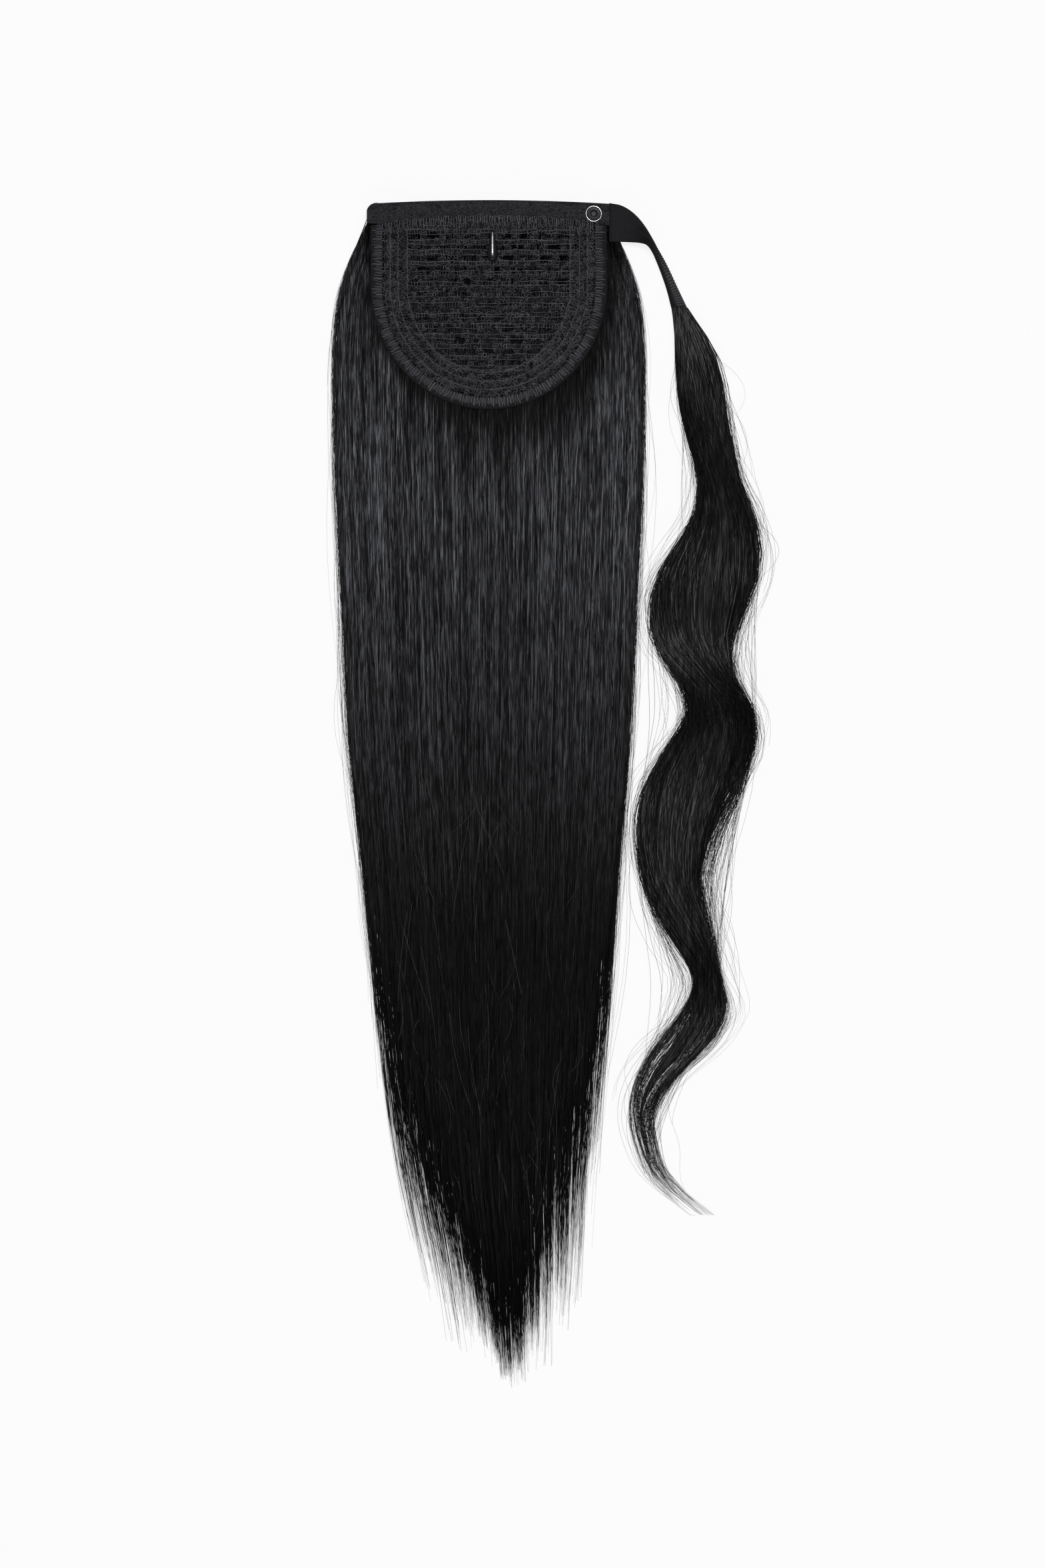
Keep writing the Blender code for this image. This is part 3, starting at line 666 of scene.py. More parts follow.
def gathered(rng, across, along, locks, clumps, firmness):
    """Strands' places across the hair as they gather into locks and clumps towards its end."""
    dense = read(DENSE, "along", np.abs(across))[:, None]
    start = across[:, None]
    lock = locks[nearest_place(across, locks)][:, None]
    clump = clumps[nearest_place(across, clumps)][:, None]
    grip = ease(dense - 0.24, dense + 0.07, along)
    firmness = firmness * (1 - 0.75 * ease(0.70, 0.95, np.abs(start)))
    firmness = firmness * np.where(rng.random(start.shape) < 0.45, 0.35, 1.0)
    to_lock = rng.uniform(0.0, 0.42, start.shape) * firmness
    to_clump = rng.uniform(0.0, 0.90, start.shape) * firmness
    return start + grip * (to_lock * (lock - start) + to_clump * (clump - start) * (1 - to_lock))


def make_hair_body(rng, material):
    """The dense hair under the strands, whose lower end runs out in uneven points."""
    columns, rows = 260, 40
    across = np.linspace(-1.0, 1.0, columns)
    slits = rng.uniform(-0.75, 0.75, SLITS)
    depths = rng.uniform(0.02, 0.13, SLITS)
    near = np.exp(-(((across[:, None] - slits[None, :]) / 0.010) ** 2))
    parting = np.max(near * depths[None, :], axis=1)
    ragged = 0.012 * np.sin(across * 83) + 0.009 * np.sin(across * 211 + 1.7)
    end = read(DENSE, "along", np.abs(across)) - 0.092 - parting + ragged
    share = np.linspace(0.0, 1.0, rows)[:, None]
    start = ROOT_TOP / HAIR_LENGTH
    along = start + (end[None, :] - start) * share
    places = np.broadcast_to(across, along.shape)
    ridge = 0.02 * np.sin(across * 97) + 0.015 * np.sin(across * 231 + 1.7)
    lift = (0.92 + ridge)[None, :] * (1 - 0.85 * ease(0.80, 1.0, share))
    top = fall_point(places * 0.985, along, lift)
    bottom = top * np.array((1.0, 1.0, 0.0)) + np.array((0.0, 0.0, 0.0001))
    rings = np.concatenate([top, bottom[:, ::-1]], axis=1)
    # The tone carries the painted shade under the base's edge and over the hair's crown.
    tone = 0.22 * painted_root_light(rings[..., 0], rings[..., 1])
    return ring_loft("hair_body", rings, material, tone.ravel())


def make_face_strands(rng, material, locks, clumps):
    """The strands that run down the whole face of the hair, from under the base to their ends."""
    count, points = FACE_STRANDS, 15
    across = rng.uniform(-1.0, 1.0, count)
    across = np.sign(across) * np.abs(across) ** 0.94
    dense = read(DENSE, "along", np.abs(across))
    end = dense - 0.02 + 0.6 * (read(WISPS, "along", across) - dense) * rng.random(count) ** 1.6
    share = shares(points)
    start = rng.uniform(0.012, 0.030, (count, 1))
    along = start + (end[:, None] - start) * share
    place = gathered(rng, across, along, locks, clumps, 0.9) + wander(rng, along, 0.007, 6.0)
    lift = rng.uniform(0.955, 1.02, (count, 1)) + wander(rng, along, 0.03, 9.0)
    lift = lift * (1 - 0.55 * ease(0.82, 1.0, share) * rng.uniform(0.2, 1.0, (count, 1)))
    paths = fall_point(place, along, lift)
    paths[..., 2] += 0.0001
    radius = rng.uniform(0.00012, 0.00020, (count, 1))
    radii = radius * (1 - 0.72 * ease(0.55, 1.0, share))
    # Each strand's tone carries the painted shade under the base's edge and over the hair's crown.
    tone = tones(rng, 0.46, 0.22, (count, 1)) * painted_root_light(paths[..., 0], paths[..., 1])
    tubes("hair_face_strands", [(paths, radii, tone)], material)


def make_face_wisps(rng, material):
    """Short stretches of strands that come up out of the face of the hair and go under again."""
    count, points = FACE_WISPS, 7
    across = rng.uniform(-0.985, 0.985, count)
    room = read(DENSE, "along", np.abs(across)) - 0.03
    length = rng.uniform(0.07, 0.20, count)
    first = 0.016 + (room - 0.016 - 0.9 * length) * rng.random(count)
    share = shares(points)
    along = first[:, None] + length[:, None] * share
    slant = rng.normal(0.0, 0.018, (count, 1)) * (share - 0.5)
    place = np.clip(across[:, None] + slant + wander(rng, along, 0.009, 13.0), -1.0, 1.0)
    hump = np.sin(math.pi * share) ** 0.6
    lift = 0.93 + rng.uniform(0.045, 0.105, (count, 1)) * hump
    paths = fall_point(place, along, lift)
    paths[..., 2] += 0.0001
    radii = rng.uniform(0.00011, 0.00022, (count, 1)) * (0.45 + 0.55 * hump)
    # Each wisp's tone carries the painted shade under the base's edge and over the hair's crown.
    tone = tones(rng, 0.52, 0.24, (count, 1)) * painted_root_light(paths[..., 0], paths[..., 1])
    tubes("hair_face_wisps", [(paths, radii, tone)], material)


def make_tip_strands(rng, material, locks, clumps):
    """The fine strands of the hair's lower part, which come out of the dense hair and end in wisps."""
    count, points = TIP_STRANDS, 7
    across = rng.uniform(-1.0, 1.0, count)
    across = np.where(rng.random(count) < 0.22, rng.normal(0.02, 0.16, count), across)
    across = np.clip(np.sign(across) * np.abs(across) ** 0.85, -1.0, 1.0)
    dense = read(DENSE, "along", np.abs(across))
    last = read(WISPS, "along", across)
    luck = rng.random(count)
    thick = 0.64 - 0.34 * ease(0.62, 0.92, np.abs(across))
    inner = dense - 0.14 + 0.14 * np.sqrt(np.minimum(luck / thick, 1.0))
    outer = np.clip((luck - thick) / (1 - thick), 0.0, 1.0)
    clump = nearest_place(across, clumps)
    longer = rng.uniform(0.55, 1.15, CLUMPS)[clump]
    bend = 0.62 + 0.38 * ease(0.5, 0.9, np.abs(across))
    end = inner + (last - dense) * np.minimum((1 - (1 - outer) ** bend) * longer, 1.0)
    share = shares(points)
    start = end[:, None] - rng.uniform(0.12, 0.28, (count, 1))
    along = start + (end[:, None] - start) * share
    place = gathered(rng, across, along, locks, clumps, 1.0)
    drift = rng.normal(0.0, 0.019, count) + np.sign(across) * np.where(rng.random(count) < 0.06, 0.05, 0.0)
    place = place + drift[:, None] * share**2 + wander(rng, along, 0.004, 12.0)
    lift = rng.uniform(0.10, 0.98, (count, 1)) * (1 - 0.4 * share)
    paths = fall_point(place, along, lift)
    paths[..., 2] += 0.00015
    radii = rng.uniform(0.000045, 0.000095, (count, 1)) * (1 - 0.55 * ease(0.4, 1.0, share))
    tone = tones(rng, 0.42, 0.2, count, low=0.02)
    order = np.argsort(across)
    for number, part in enumerate(np.array_split(order, 2)):
        tubes(f"hair_tips_{number + 1}", [(paths[part], radii[part], tone[part])], material)


def make_fringe(rng, material):
    """The thin hairs along both sides of the fall."""
    count, points = FRINGE_STRANDS, 10
    side = np.where(rng.random(count) < 0.5, -1.0, 1.0)
    across = side * rng.uniform(0.96, 1.0, count)
    shoulder = rng.random(count) < 0.22
    start = np.where(shoulder, rng.uniform(0.018, 0.045, count), rng.uniform(0.015, 0.58, count))[:, None]
    length = rng.uniform(0.12, 0.32, (count, 1))
    end = start + np.minimum(length, (0.86 - start) * rng.uniform(0.5, 1.0, (count, 1)))
    share = shares(points)
    along = start + (end - start) * share
    swell = np.where(shoulder, rng.uniform(0.004, 0.034, count), rng.gamma(1.5, 0.014, count))
    out = side[:, None] * swell[:, None] * np.sin(math.pi * share * 0.85) ** 1.5
    lift = rng.uniform(0.3, 1.0, (count, 1))
    inward = rng.uniform(0.0, 0.22, (count, 1)) * ease(0.50, 0.92, along)
    paths = fall_point(across[:, None] * (1 - inward), along, lift)
    paths[..., 0] += out * HAIR_WIDTH / 2
    paths[..., 2] += 0.0004
    radii = rng.uniform(0.00004, 0.00008, (count, 1)) * (1 - 0.5 * share)
    tone = tones(rng, 0.4, 0.12, count)
    tubes("hair_fringe", [(paths, radii, tone)], material)


def make_strays(rng, material):
    """Single hairs that cross the face of the fall, lighter and not darkened lower down: painted glints."""
    count, points = STRAY_STRANDS, 8
    start = rng.uniform(0.30, 0.82, (count, 1))
    along = start + rng.uniform(0.02, 0.09, (count, 1)) * shares(points)
    bend = rng.normal(0.0, 0.03, (count, 1)) * np.linspace(-1.0, 1.0, points) ** 2
    slant = rng.normal(0.0, 0.10, (count, 1)) * np.linspace(-0.5, 0.5, points)
    place = rng.uniform(-0.8, 0.8, (count, 1)) + slant + bend
    paths = fall_point(place, along, 1.03)
    paths[..., 2] += 0.0004
    radii = rng.uniform(0.00004, 0.00006, (count, 1))
    # Their lighter tone, in the tress's material that does not darken lower down, is a painted glint.
    tubes("hair_strays", [(paths, radii, rng.uniform(0.5, 1.1, count))], material)


# The tress

TRESS_STRANDS = 600
TRESS_FLYAWAYS = 230
FLYAWAY_TONE = 0.35
TRESS_TWIST = -0.22
TIP_PARTING = 0.0026

# How the tress winds. rounds: how many it has made; it is highest at each whole round, where it crosses to
# the right. light: how bright its painted highlight is there
WINDING = (
    ("along", "rounds", "light"),
    (0.00, 0.55, 0.97),
    (0.06, 0.70, 0.90),
    (0.12, 0.85, 0.62),
    (0.17, 1.00, 0.42),
    (0.229, 1.25, 0.54),
    (0.29, 1.46, 0.90),
    (0.34, 1.62, 0.68),
    (0.375, 1.75, 1.22),
    (0.41, 2.00, 0.60),
    (0.448, 2.25, 0.20),
    (0.50, 2.40, 0.58),
    (0.545, 2.54, 0.82),
    (0.631, 2.75, 0.70),
    (0.69, 3.00, 0.70),
    (0.741, 3.25, 0.34),
    (0.81, 3.50, 0.98),
    (0.887, 3.75, 0.55),
    (1.00, 4.10, 0.50),
)
WINDING_RISE = 0.20

# Bends that loose hairs cut across. side: 1 the right, -1 the left. first, last: shares of TRESS_LENGTH
HOLLOWS = (
    (1, 0.25, 0.43, 40),
    (1, 0.50, 0.70, 80),
    (1, 0.735, 0.90, 90),
    (-1, 0.10, 0.24, 12),
    (-1, 0.36, 0.52, 14),
    (-1, 0.62, 0.80, 30),
)


def tress_axis():
    """The middle of the tress's swing: as near to the hair as its clearance lets its inner bends come."""
    along = column(TRESS, "along")
    y = -STRAP_DROP - PIECE_GAP - along * TRESS_LENGTH
    inner = column(TRESS, "sway") * TRESS_SWAY - column(TRESS, "width") * TRESS_WIDTH / 2
    edge = (read(FALL, "half", -y / HAIR_LENGTH) + read(FALL, "axis", -y / HAIR_LENGTH)) * HAIR_WIDTH / 2
    return float(np.max(edge + TRESS_CLEARANCE - inner))


TRESS_AXIS = tress_axis()


def tress_point(turn, radius, along):
    """Points of the tress: turn is the angle round its section, 0 at the right and a quarter on top."""
    middle = TRESS_AXIS + read(TRESS, "sway", along) * TRESS_SWAY
    half = np.maximum(read(TRESS, "width", along) * TRESS_WIDTH / 2, 0.0006)
    top = TRESS_THICKNESS * (half / (TRESS_WIDTH / 2)) ** 0.6
    rise = WINDING_RISE * ease(0.0, 0.12, along)
    top = top * (1 - 0.4 * rise + rise * np.cos(2 * math.pi * read(WINDING, "rounds", along)))
    x = middle + half * radius * np.cos(turn)
    y = -STRAP_DROP - PIECE_GAP - along * TRESS_LENGTH
    z = top * np.maximum(0.5 + 0.5 * radius * np.sin(turn), 0.03)
    return np.stack(np.broadcast_arrays(x, y, z), axis=-1)


def painted_tress_light(turn, along):
    """How bright the tress's painted highlight is: its crossing stretches are painted lighter, most of all
    on top.
    """
    return read(WINDING, "light", along) * (0.70 + 0.30 * np.sin(turn))


def make_tress_body(material):
    """The dense lock under the strands, which thins out before the tress's tip."""
    rows, sides = 90, 28
    along = np.linspace(0.0, 0.90, rows)[:, None]
    turn = np.linspace(0.0, 2 * math.pi, sides, endpoint=False)[None, :]
    ridge = 0.03 * np.sin(7 * turn + 12 * along)
    radius = (0.84 + ridge) * (1 - 0.85 * ease(0.74, 1.0, along / 0.90))
    rings = tress_point(turn, radius, along)
    # Its tone carries the tress's painted highlight.
    return ring_loft("tress_body", rings, material, (0.3 * painted_tress_light(turn, along)).ravel())


def make_tress_strands(rng, material):
    """Strands that wind round the tress, most on its upper side, and part into wisps at its tip."""
    count, points = TRESS_STRANDS, 36
    first = rng.uniform(0.0, 2 * math.pi, (count, 1))
    end = np.clip(rng.normal(0.91, 0.09, (count, 1)), 0.55, rng.uniform(0.945, 1.0, (count, 1)))
    share = shares(points)
    along = np.minimum(rng.uniform(0.0, 0.01, (count, 1)) + end * share, 1.0)
    turn = first + 2 * math.pi * TRESS_TWIST * (read(WINDING, "rounds", along) - 0.55)
    loose = rng.random(count) < 0.15
    far = 1.03 + np.minimum(rng.gamma(1.2, 0.12, count), 0.45)
    radius = np.where(loose, far, rng.uniform(0.84, 1.03, count))
    swings = rng.uniform(2, 7, (count, 1))
    wave = rng.uniform(0.0, 0.06, (count, 1)) * np.sin(2 * math.pi * swings * along + first)
    radius = radius[:, None] * (1 + wave) * (1 - 0.1 * share)
    radius = 1 + (radius - 1) * ease(0.0, 0.08, along)
    ripple = 0.55 + 0.45 * np.sin(2 * math.pi * swings * 0.6 * along + first)
    puff = 0.25 + 0.75 * ease(-0.2, 0.7, np.cos(turn)) * ripple
    radius = np.where(radius > 1.03, 1.03 + (radius - 1.03) * puff, radius)
    paths = tress_point(turn + 0.1 * wave / 0.06, radius, along)
    wisp = rng.integers(-1, 2, (count, 1)) * rng.uniform(0.6, 1.1, (count, 1))
    paths[..., 0] += wisp * TIP_PARTING * (ease(0.80, 0.93, along) + 0.9 * ease(0.92, 1.0, along))
    thick = np.where(loose, 0.00009, 0.00017)[:, None]
    radii = thick * rng.uniform(0.7, 1.15, (count, 1)) * (1 - 0.78 * ease(0.6, 1.0, share))
    # Each strand's tone carries the tress's painted highlight.
    tone = tones(rng, 0.56, 0.34, (count, 1), low=0.0, high=1.4) * painted_tress_light(turn, along)
    tubes("tress_strands", [(paths, radii, tone)], material)


def tress_edge(side, along):
    """A point at the tress's edge. side: 1 its right edge, -1 its left."""
    return tress_point(np.where(side > 0, 0.2, math.pi - 0.2), 0.97, along)


def make_tress_flyaways(rng, material):
    """Loose hairs round the tress, and hairs that take the short way across its hollow bends."""
    count, points = TRESS_FLYAWAYS, 14
    share = shares(points)
    start = rng.uniform(0.04, 0.88, (count, 1))
    along = np.minimum(start + rng.uniform(0.06, 0.20, (count, 1)) * share, 1.0)
    side = np.where(rng.random((count, 1)) < 0.70, 1.0, -1.0)
    swell = np.sin(math.pi * share * rng.uniform(0.5, 1.0, (count, 1)))
    paths = tress_edge(side, along)
    paths[..., 0] += side * rng.gamma(1.6, 0.0021, (count, 1)) * swell
    radii = rng.uniform(0.00004, 0.00007, (count, 1)) * (1 - 0.4 * share)
    groups = [(paths, radii, FLYAWAY_TONE)]

    for side, first, last, number in HOLLOWS:
        start = first + rng.uniform(-0.025, 0.03, (number, 1))
        stop = last + rng.uniform(-0.05, 0.04, (number, 1))
        along = start + (stop - start) * share
        near = tress_edge(side, start)
        far = tress_edge(side, stop)
        straight = near + (far - near) * share[..., None]
        held = tress_edge(side, along)
        slack = rng.uniform(0.15, 1.0, (number, 1, 1))
        paths = held + (straight - held) * slack
        paths[..., 0] += 0.0012 * rng.normal(0.0, 1.0, (number, 1)) * np.sin(2 * math.pi * share)
        paths[..., 2] = np.maximum(paths[..., 2], 0.0002)
        radii = rng.uniform(0.00005, 0.00010, (number, 1)) * (1 - 0.4 * share)
        groups.append((paths, radii, FLYAWAY_TONE))
    tubes("tress_flyaways", groups, material)


# The base

STITCH_PITCH = 0.0012
SEAM_GAP = 0.00002
LADDER_PITCH = 0.0045
LADDER_ROWS = 15
WEFT_STITCH_PITCH = 0.0013

# The curved wefts: how far each lies inside the binding, and its radius
WEFTS = (
    (0.0030, 0.00030),
    (0.0064, 0.00026),
    (0.0104, 0.00030),
)


def make_band(material):
    """The smooth band along the top: soft rounded edges, slight waves and a pressed line near its top."""
    columns = 90
    left = -BASE_WIDTH / 2 - BAND_OVERHANG_LEFT + FOLD_WIDTH + SEAM_GAP
    right = BASE_WIDTH / 2 + BAND_OVERHANG_RIGHT
    x = np.linspace(left, right, columns)[:, None]
    # Rows of (place from the band's lower edge, 0, to its top edge, 1; height as a share of its thickness)
    section = np.array(
        [
            (0.010, 0.10),
            (0.000, 0.45),
            (0.012, 0.80),
            (0.045, 0.97),
            (0.20, 1.02),
            (0.40, 1.03),
            (0.60, 1.02),
            (0.78, 1.00),
            (0.868, 0.95),
            (0.888, 0.80),
            (0.905, 0.92),
            (0.955, 0.93),
            (0.990, 0.70),
            (1.000, 0.40),
            (0.990, 0.08),
            (0.700, 0.00),
            (0.300, 0.00),
        ]
    )
    y = band_bottom(x) + (band_top(x) - band_bottom(x)) * section[None, :, 0]
    wave = 0.06 * np.sin(210 * x + 0.8) * section[None, :, 1]
    z = base_floor(x, y) + BAND_THICKNESS * (section[None, :, 1] + wave)
    rings = np.stack([np.broadcast_to(x, y.shape), y, z], axis=-1)
    band = ring_loft("band_cloth", rings, material)
    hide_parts("top_band")
    return band


def make_band_fold(material):
    """The band's end folded back over itself, a little thicker, with a rounded upper corner."""
    columns = 24
    left = -BASE_WIDTH / 2 - BAND_OVERHANG_LEFT
    share = np.linspace(0.0, 1.0, columns)[:, None]
    x = left + FOLD_WIDTH * share
    inward = np.clip(1 - (x - left) / FOLD_CORNER, 0.0, 0.985)
    upper = band_top(left + FOLD_WIDTH) - FOLD_CORNER * (1 - np.sqrt(1 - inward**2)) * 0.92
    lower = band_bottom(left + FOLD_WIDTH) + 0.0006 * inward
    angle = np.linspace(0.0, 2 * math.pi, 26, endpoint=False)[None, :]
    flat = np.sign(np.cos(angle)) * np.abs(np.cos(angle)) ** 0.35
    tall = np.sign(np.sin(angle)) * np.abs(np.sin(angle)) ** 0.55
    y = (upper + lower) / 2 + (upper - lower) / 2 * flat
    fullness = np.sqrt(1 - np.abs(2 * share - 1) ** 5 * 0.9)
    z = base_floor(x, y) + FOLD_THICKNESS * (0.5 + 0.5 * tall * fullness)
    rings = np.stack([np.broadcast_to(x, y.shape), y, z], axis=-1)
    fold = ring_loft("band_fold_cloth", rings, material)
    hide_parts("band_fold")
    return fold


def path_directions(path):
    """Unit steps along the base's edge, and across it towards its inside."""
    along = np.gradient(path, axis=0)
    along /= np.linalg.norm(along, axis=1, keepdims=True)
    return along, np.stack([-along[:, 1], along[:, 0]], axis=1)


def binding_height(inward):
    """Height of the binding's face over its underside. inward: -1 its outer edge, 1 its inner edge."""
    return BINDING_THICKNESS * (1 - 0.10 * inward**2 - 0.45 * np.abs(inward) ** 9)


def make_binding(material, thread, rng):
    """The tape round the U and the overlock stitches across it."""
    path, run = u_path(BINDING_WIDTH / 2, 180)
    _, across = path_directions(path)
    # Nine points over the tape's face and two on its underside
    inward = np.array((-1.0, -0.97, -0.85, -0.5, 0.0, 0.5, 0.85, 0.97, 1.0, 0.8, -0.8))
    rise = np.append(binding_height(inward[:9]) * 0.88, (0.0, 0.0))
    rise[0] = rise[8] = 0.2 * BINDING_THICKNESS
    spot = path[:, None, :] + across[:, None, :] * (inward[None, :] * BINDING_WIDTH / 2)[..., None]
    for end in (0, -1):
        spot[end, :, 1] = band_bottom(spot[end, :, 0]) - PIECE_GAP
    z = base_floor(spot[..., 0], spot[..., 1]) + rise[None, :]
    tape = ring_loft("binding_tape", np.dstack([spot, z]), material)
    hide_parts("edge_binding")

    thick = binding_stitches(rng, run, 0.0, 0.00024, 0.62)
    thin = binding_stitches(rng, run, 0.5, 0.00017, 0.34)
    stitches = tubes("binding_stitches", [thick, thin], thread, sides=4)
    return [tape, stitches]


def binding_stitches(rng, run, shift, size, bright):
    """One set of threads laid across the binding, moved on by this share of their pitch."""
    count = round(run / STITCH_PITCH)
    path, _ = u_path(BINDING_WIDTH / 2, count)
    path = path[:-1] + (path[1:] - path[:-1]) * (0.25 + shift)
    along, across = path_directions(path)
    share = shares(8)
    first = -1.0 + rng.uniform(0.0, 0.75, (count, 1))
    inward = first + (1.02 - first) * share
    slant = (rng.normal(0.0, 0.00018, (count, 1)) + 0.00016) * inward
    slant += rng.normal(0.0, 0.00005, inward.shape)
    spot = path[:, None, :] + across[:, None, :] * (inward * BINDING_WIDTH / 2)[..., None]
    spot += along[:, None, :] * slant[..., None]
    dip = np.where((share < 0.01) | (share > 0.99), 0.0008, 0.0)
    lift = binding_height(np.clip(inward, -1, 1)) - dip
    z = base_floor(spot[..., 0], spot[..., 1]) + lift - 0.00020
    middle = np.sin(math.pi * share)
    radii = size * rng.uniform(0.75, 1.15, (count, 1)) * (0.8 + 0.2 * middle)
    # Each stitch's tone: painted light, lighter round the U's bottom; painted shade towards its outer end
    # by the binding's edge; a little lighter over its middle.
    lit = 0.24 * ease(0.2, 1.0, (TURN - spot[..., 1]) / BASE_ROUND)
    tone = rng.normal(bright, 0.14, (count, 1)) - 0.20 * (1 - share) + 0.08 * middle + lit
    return np.dstack([spot, z]), radii, np.clip(tone, 0.0, 1.0)


def in_net(x, y, margin):
    """Whether a place is inside the binding and below the band."""
    return (np.abs(x) < base_half(y, BINDING_WIDTH + margin)) & (y < band_bottom(x) - margin)


def gap_places():
    """The middle of each gap cut through the net: rows of gaps, every other row half a column over."""
    half = BASE_WIDTH / 2 - BINDING_WIDTH - PIECE_GAP - NET_RIM
    depth = BASE_ROUND - BINDING_WIDTH - PIECE_GAP - NET_RIM
    rows = int((BASE_DEPTH - BAND_HEIGHT) / NET_ROW_PITCH)
    columns = int(BASE_WIDTH / NET_COLUMN_PITCH)
    places = []
    for row in range(rows):
        y = -BAND_HEIGHT - NET_RIM - NET_GAP_HEIGHT / 2 - row * NET_ROW_PITCH
        low = y - NET_GAP_HEIGHT / 2
        inside = 1.0 if low > TURN else 1 - ((TURN - low) / depth) ** 2
        if inside <= 0:
            continue
        for k in range(-columns, columns + 1):
            x = (k + 0.5 * (row % 2)) * NET_COLUMN_PITCH
            if abs(x) + NET_GAP_WIDTH / 2 <= half * math.sqrt(inside):
                places.append((x, y))
    return np.array(places)


def rim_depth(x, y):
    """How far inside the binding a place is."""
    half = BASE_WIDTH / 2 - BINDING_WIDTH
    depth = BASE_ROUND - BINDING_WIDTH
    round_part = (1 - np.hypot(x / half, (TURN - y) / depth)) * depth
    return np.where(y > TURN, half - np.abs(x), round_part)


def net_surface(x, y):
    """Height of the net's face."""
    return base_floor(x, y) + NET_THICKNESS


def knit_ground(rng):
    """Small crooked loops all over the net. They cross some of its open gaps."""
    pitch_x, pitch_y = 0.00142, 0.00128
    columns = int(BASE_WIDTH / pitch_x)
    rows = int(BASE_DEPTH / pitch_y)
    grid_x, grid_y = np.meshgrid(np.arange(-columns // 2, columns // 2 + 1), np.arange(rows))
    x = grid_x.ravel() * pitch_x + rng.normal(0.0, 0.00030, grid_x.size)
    y = -grid_y.ravel() * pitch_y - 0.004 + rng.normal(0.0, 0.00026, grid_x.size)
    keep = in_net(x, y, -0.0004)
    in_gap = np.zeros(len(x), bool)
    for gap_x, gap_y in gap_places():
        crossed = rng.random() < 0.45
        near = (np.abs(x - gap_x) < NET_GAP_WIDTH / 2 - 0.0001) & (np.abs(y - gap_y) < NET_GAP_HEIGHT / 2)
        in_gap |= near & (rng.random(len(x)) > (0.85 if crossed else 0.12))
    keep &= ~in_gap
    depth = rim_depth(x, y)
    for inset, _ in WEFTS:
        beside = np.abs(depth - inset - 0.0009) < 0.0005
        keep &= ~beside | (rng.random(len(x)) < 0.25)
    x, y = x[keep], y[keep]
    count = len(x)
    turn = rng.normal(0.0, 0.85, (count, 1))
    angle = np.linspace(-0.5, math.pi + 0.5, 6)[None, :]
    wide = rng.uniform(0.00042, 0.00080, (count, 1))
    tall = rng.uniform(0.00050, 0.00105, (count, 1))
    local_x = wide * np.cos(angle)
    local_y = tall * np.sin(angle)
    px = x[:, None] + local_x * np.cos(turn) - local_y * np.sin(turn)
    py = y[:, None] + local_x * np.sin(turn) + local_y * np.cos(turn)
    rise = np.array((-0.00014, 0.00006, 0.00026, 0.00026, 0.00006, -0.00014))[None, :]
    pz = net_surface(px, py) + rise + rng.uniform(-0.00008, 0.00020, (count, 1))
    paths = np.stack([px, py, pz], axis=-1)
    radii = rng.uniform(0.00013, 0.00024, (count, 1))
    patch = 0.14 * np.sin(310 * x + 2.1 * np.sin(170 * y)) * np.sin(260 * y + 1.3)
    patch += 0.05 - 0.15 * ease(0.35, 0.75, -2 * x / BASE_WIDTH)
    return paths, radii, np.clip(rng.normal(0.50, 0.30, count) + patch, 0.02, 1.0)


def row_pieces(rng, rows, offset, size):
    """Level threads along these rows, in runs of uneven length that wander a little up and down."""
    lines = []
    for y in rows:
        half = float(base_half(y, BINDING_WIDTH + 0.0085))
        if half < 0.006:
            continue
        x = -half + rng.uniform(0.0, 0.004)
        while x < half - 0.004:
            reach = min(x + rng.uniform(0.009, 0.034), half)
            line = np.linspace(x, reach, 14)
            level = y + offset + rng.normal(0.0, 0.00022) + 0.00022 * np.sin(line * 330 + rng.uniform(0, 6))
            lines.append(np.stack([line, level + rng.normal(0.0, 0.00008, 14)], axis=1))
            x = reach + rng.uniform(0.0, 0.0035)
    lines = np.array(lines)
    z = net_surface(lines[..., 0], lines[..., 1]) + 0.00028
    tone = np.clip(rng.normal(0.58, 0.16, (len(lines), 1)) + rng.normal(0.0, 0.12, z.shape), 0.05, 1.0)
    return np.dstack([lines, z]), size * rng.uniform(0.8, 1.2, (len(lines), 1)), tone


def ladder_rows(rng):
    """Pairs of level threads with short upright stitches between them, row below row."""
    first = -BAND_HEIGHT - NET_RIM + 0.0012
    rows = first - np.arange(LADDER_ROWS) * LADDER_PITCH
    groups = [row_pieces(rng, rows, 0.0, 0.00022), row_pieces(rng, rows, -0.0017, 0.00019)]
    steps = []
    for y in rows:
        half = float(base_half(y, BINDING_WIDTH + 0.010))
        x = np.arange(-half, half, STITCH_PITCH)
        steps.append(np.stack([x, np.full(len(x), y)], axis=1))
    steps = np.concatenate(steps)
    patchy = 0.62 + 0.38 * np.sin(160 * steps[:, 0] + 900 * steps[:, 1])
    steps = steps[rng.random(len(steps)) < patchy]
    count = len(steps)
    down = np.linspace(0.00035, -0.0021, 4)[None, :] * rng.uniform(0.7, 1.3, (count, 1))
    px = steps[:, :1] + rng.normal(0.0, 0.00018, (count, 1)) + rng.normal(0.0, 0.00008, (count, 4))
    py = steps[:, 1:] + down
    pz = net_surface(px, py) + np.array((0.0001, 0.0004, 0.0004, 0.0001))[None, :]
    tone = tones(rng, 0.60, 0.2, count)
    groups.append((np.stack([px, py, pz], -1), rng.uniform(0.00014, 0.00021, (count, 1)), tone))
    return groups


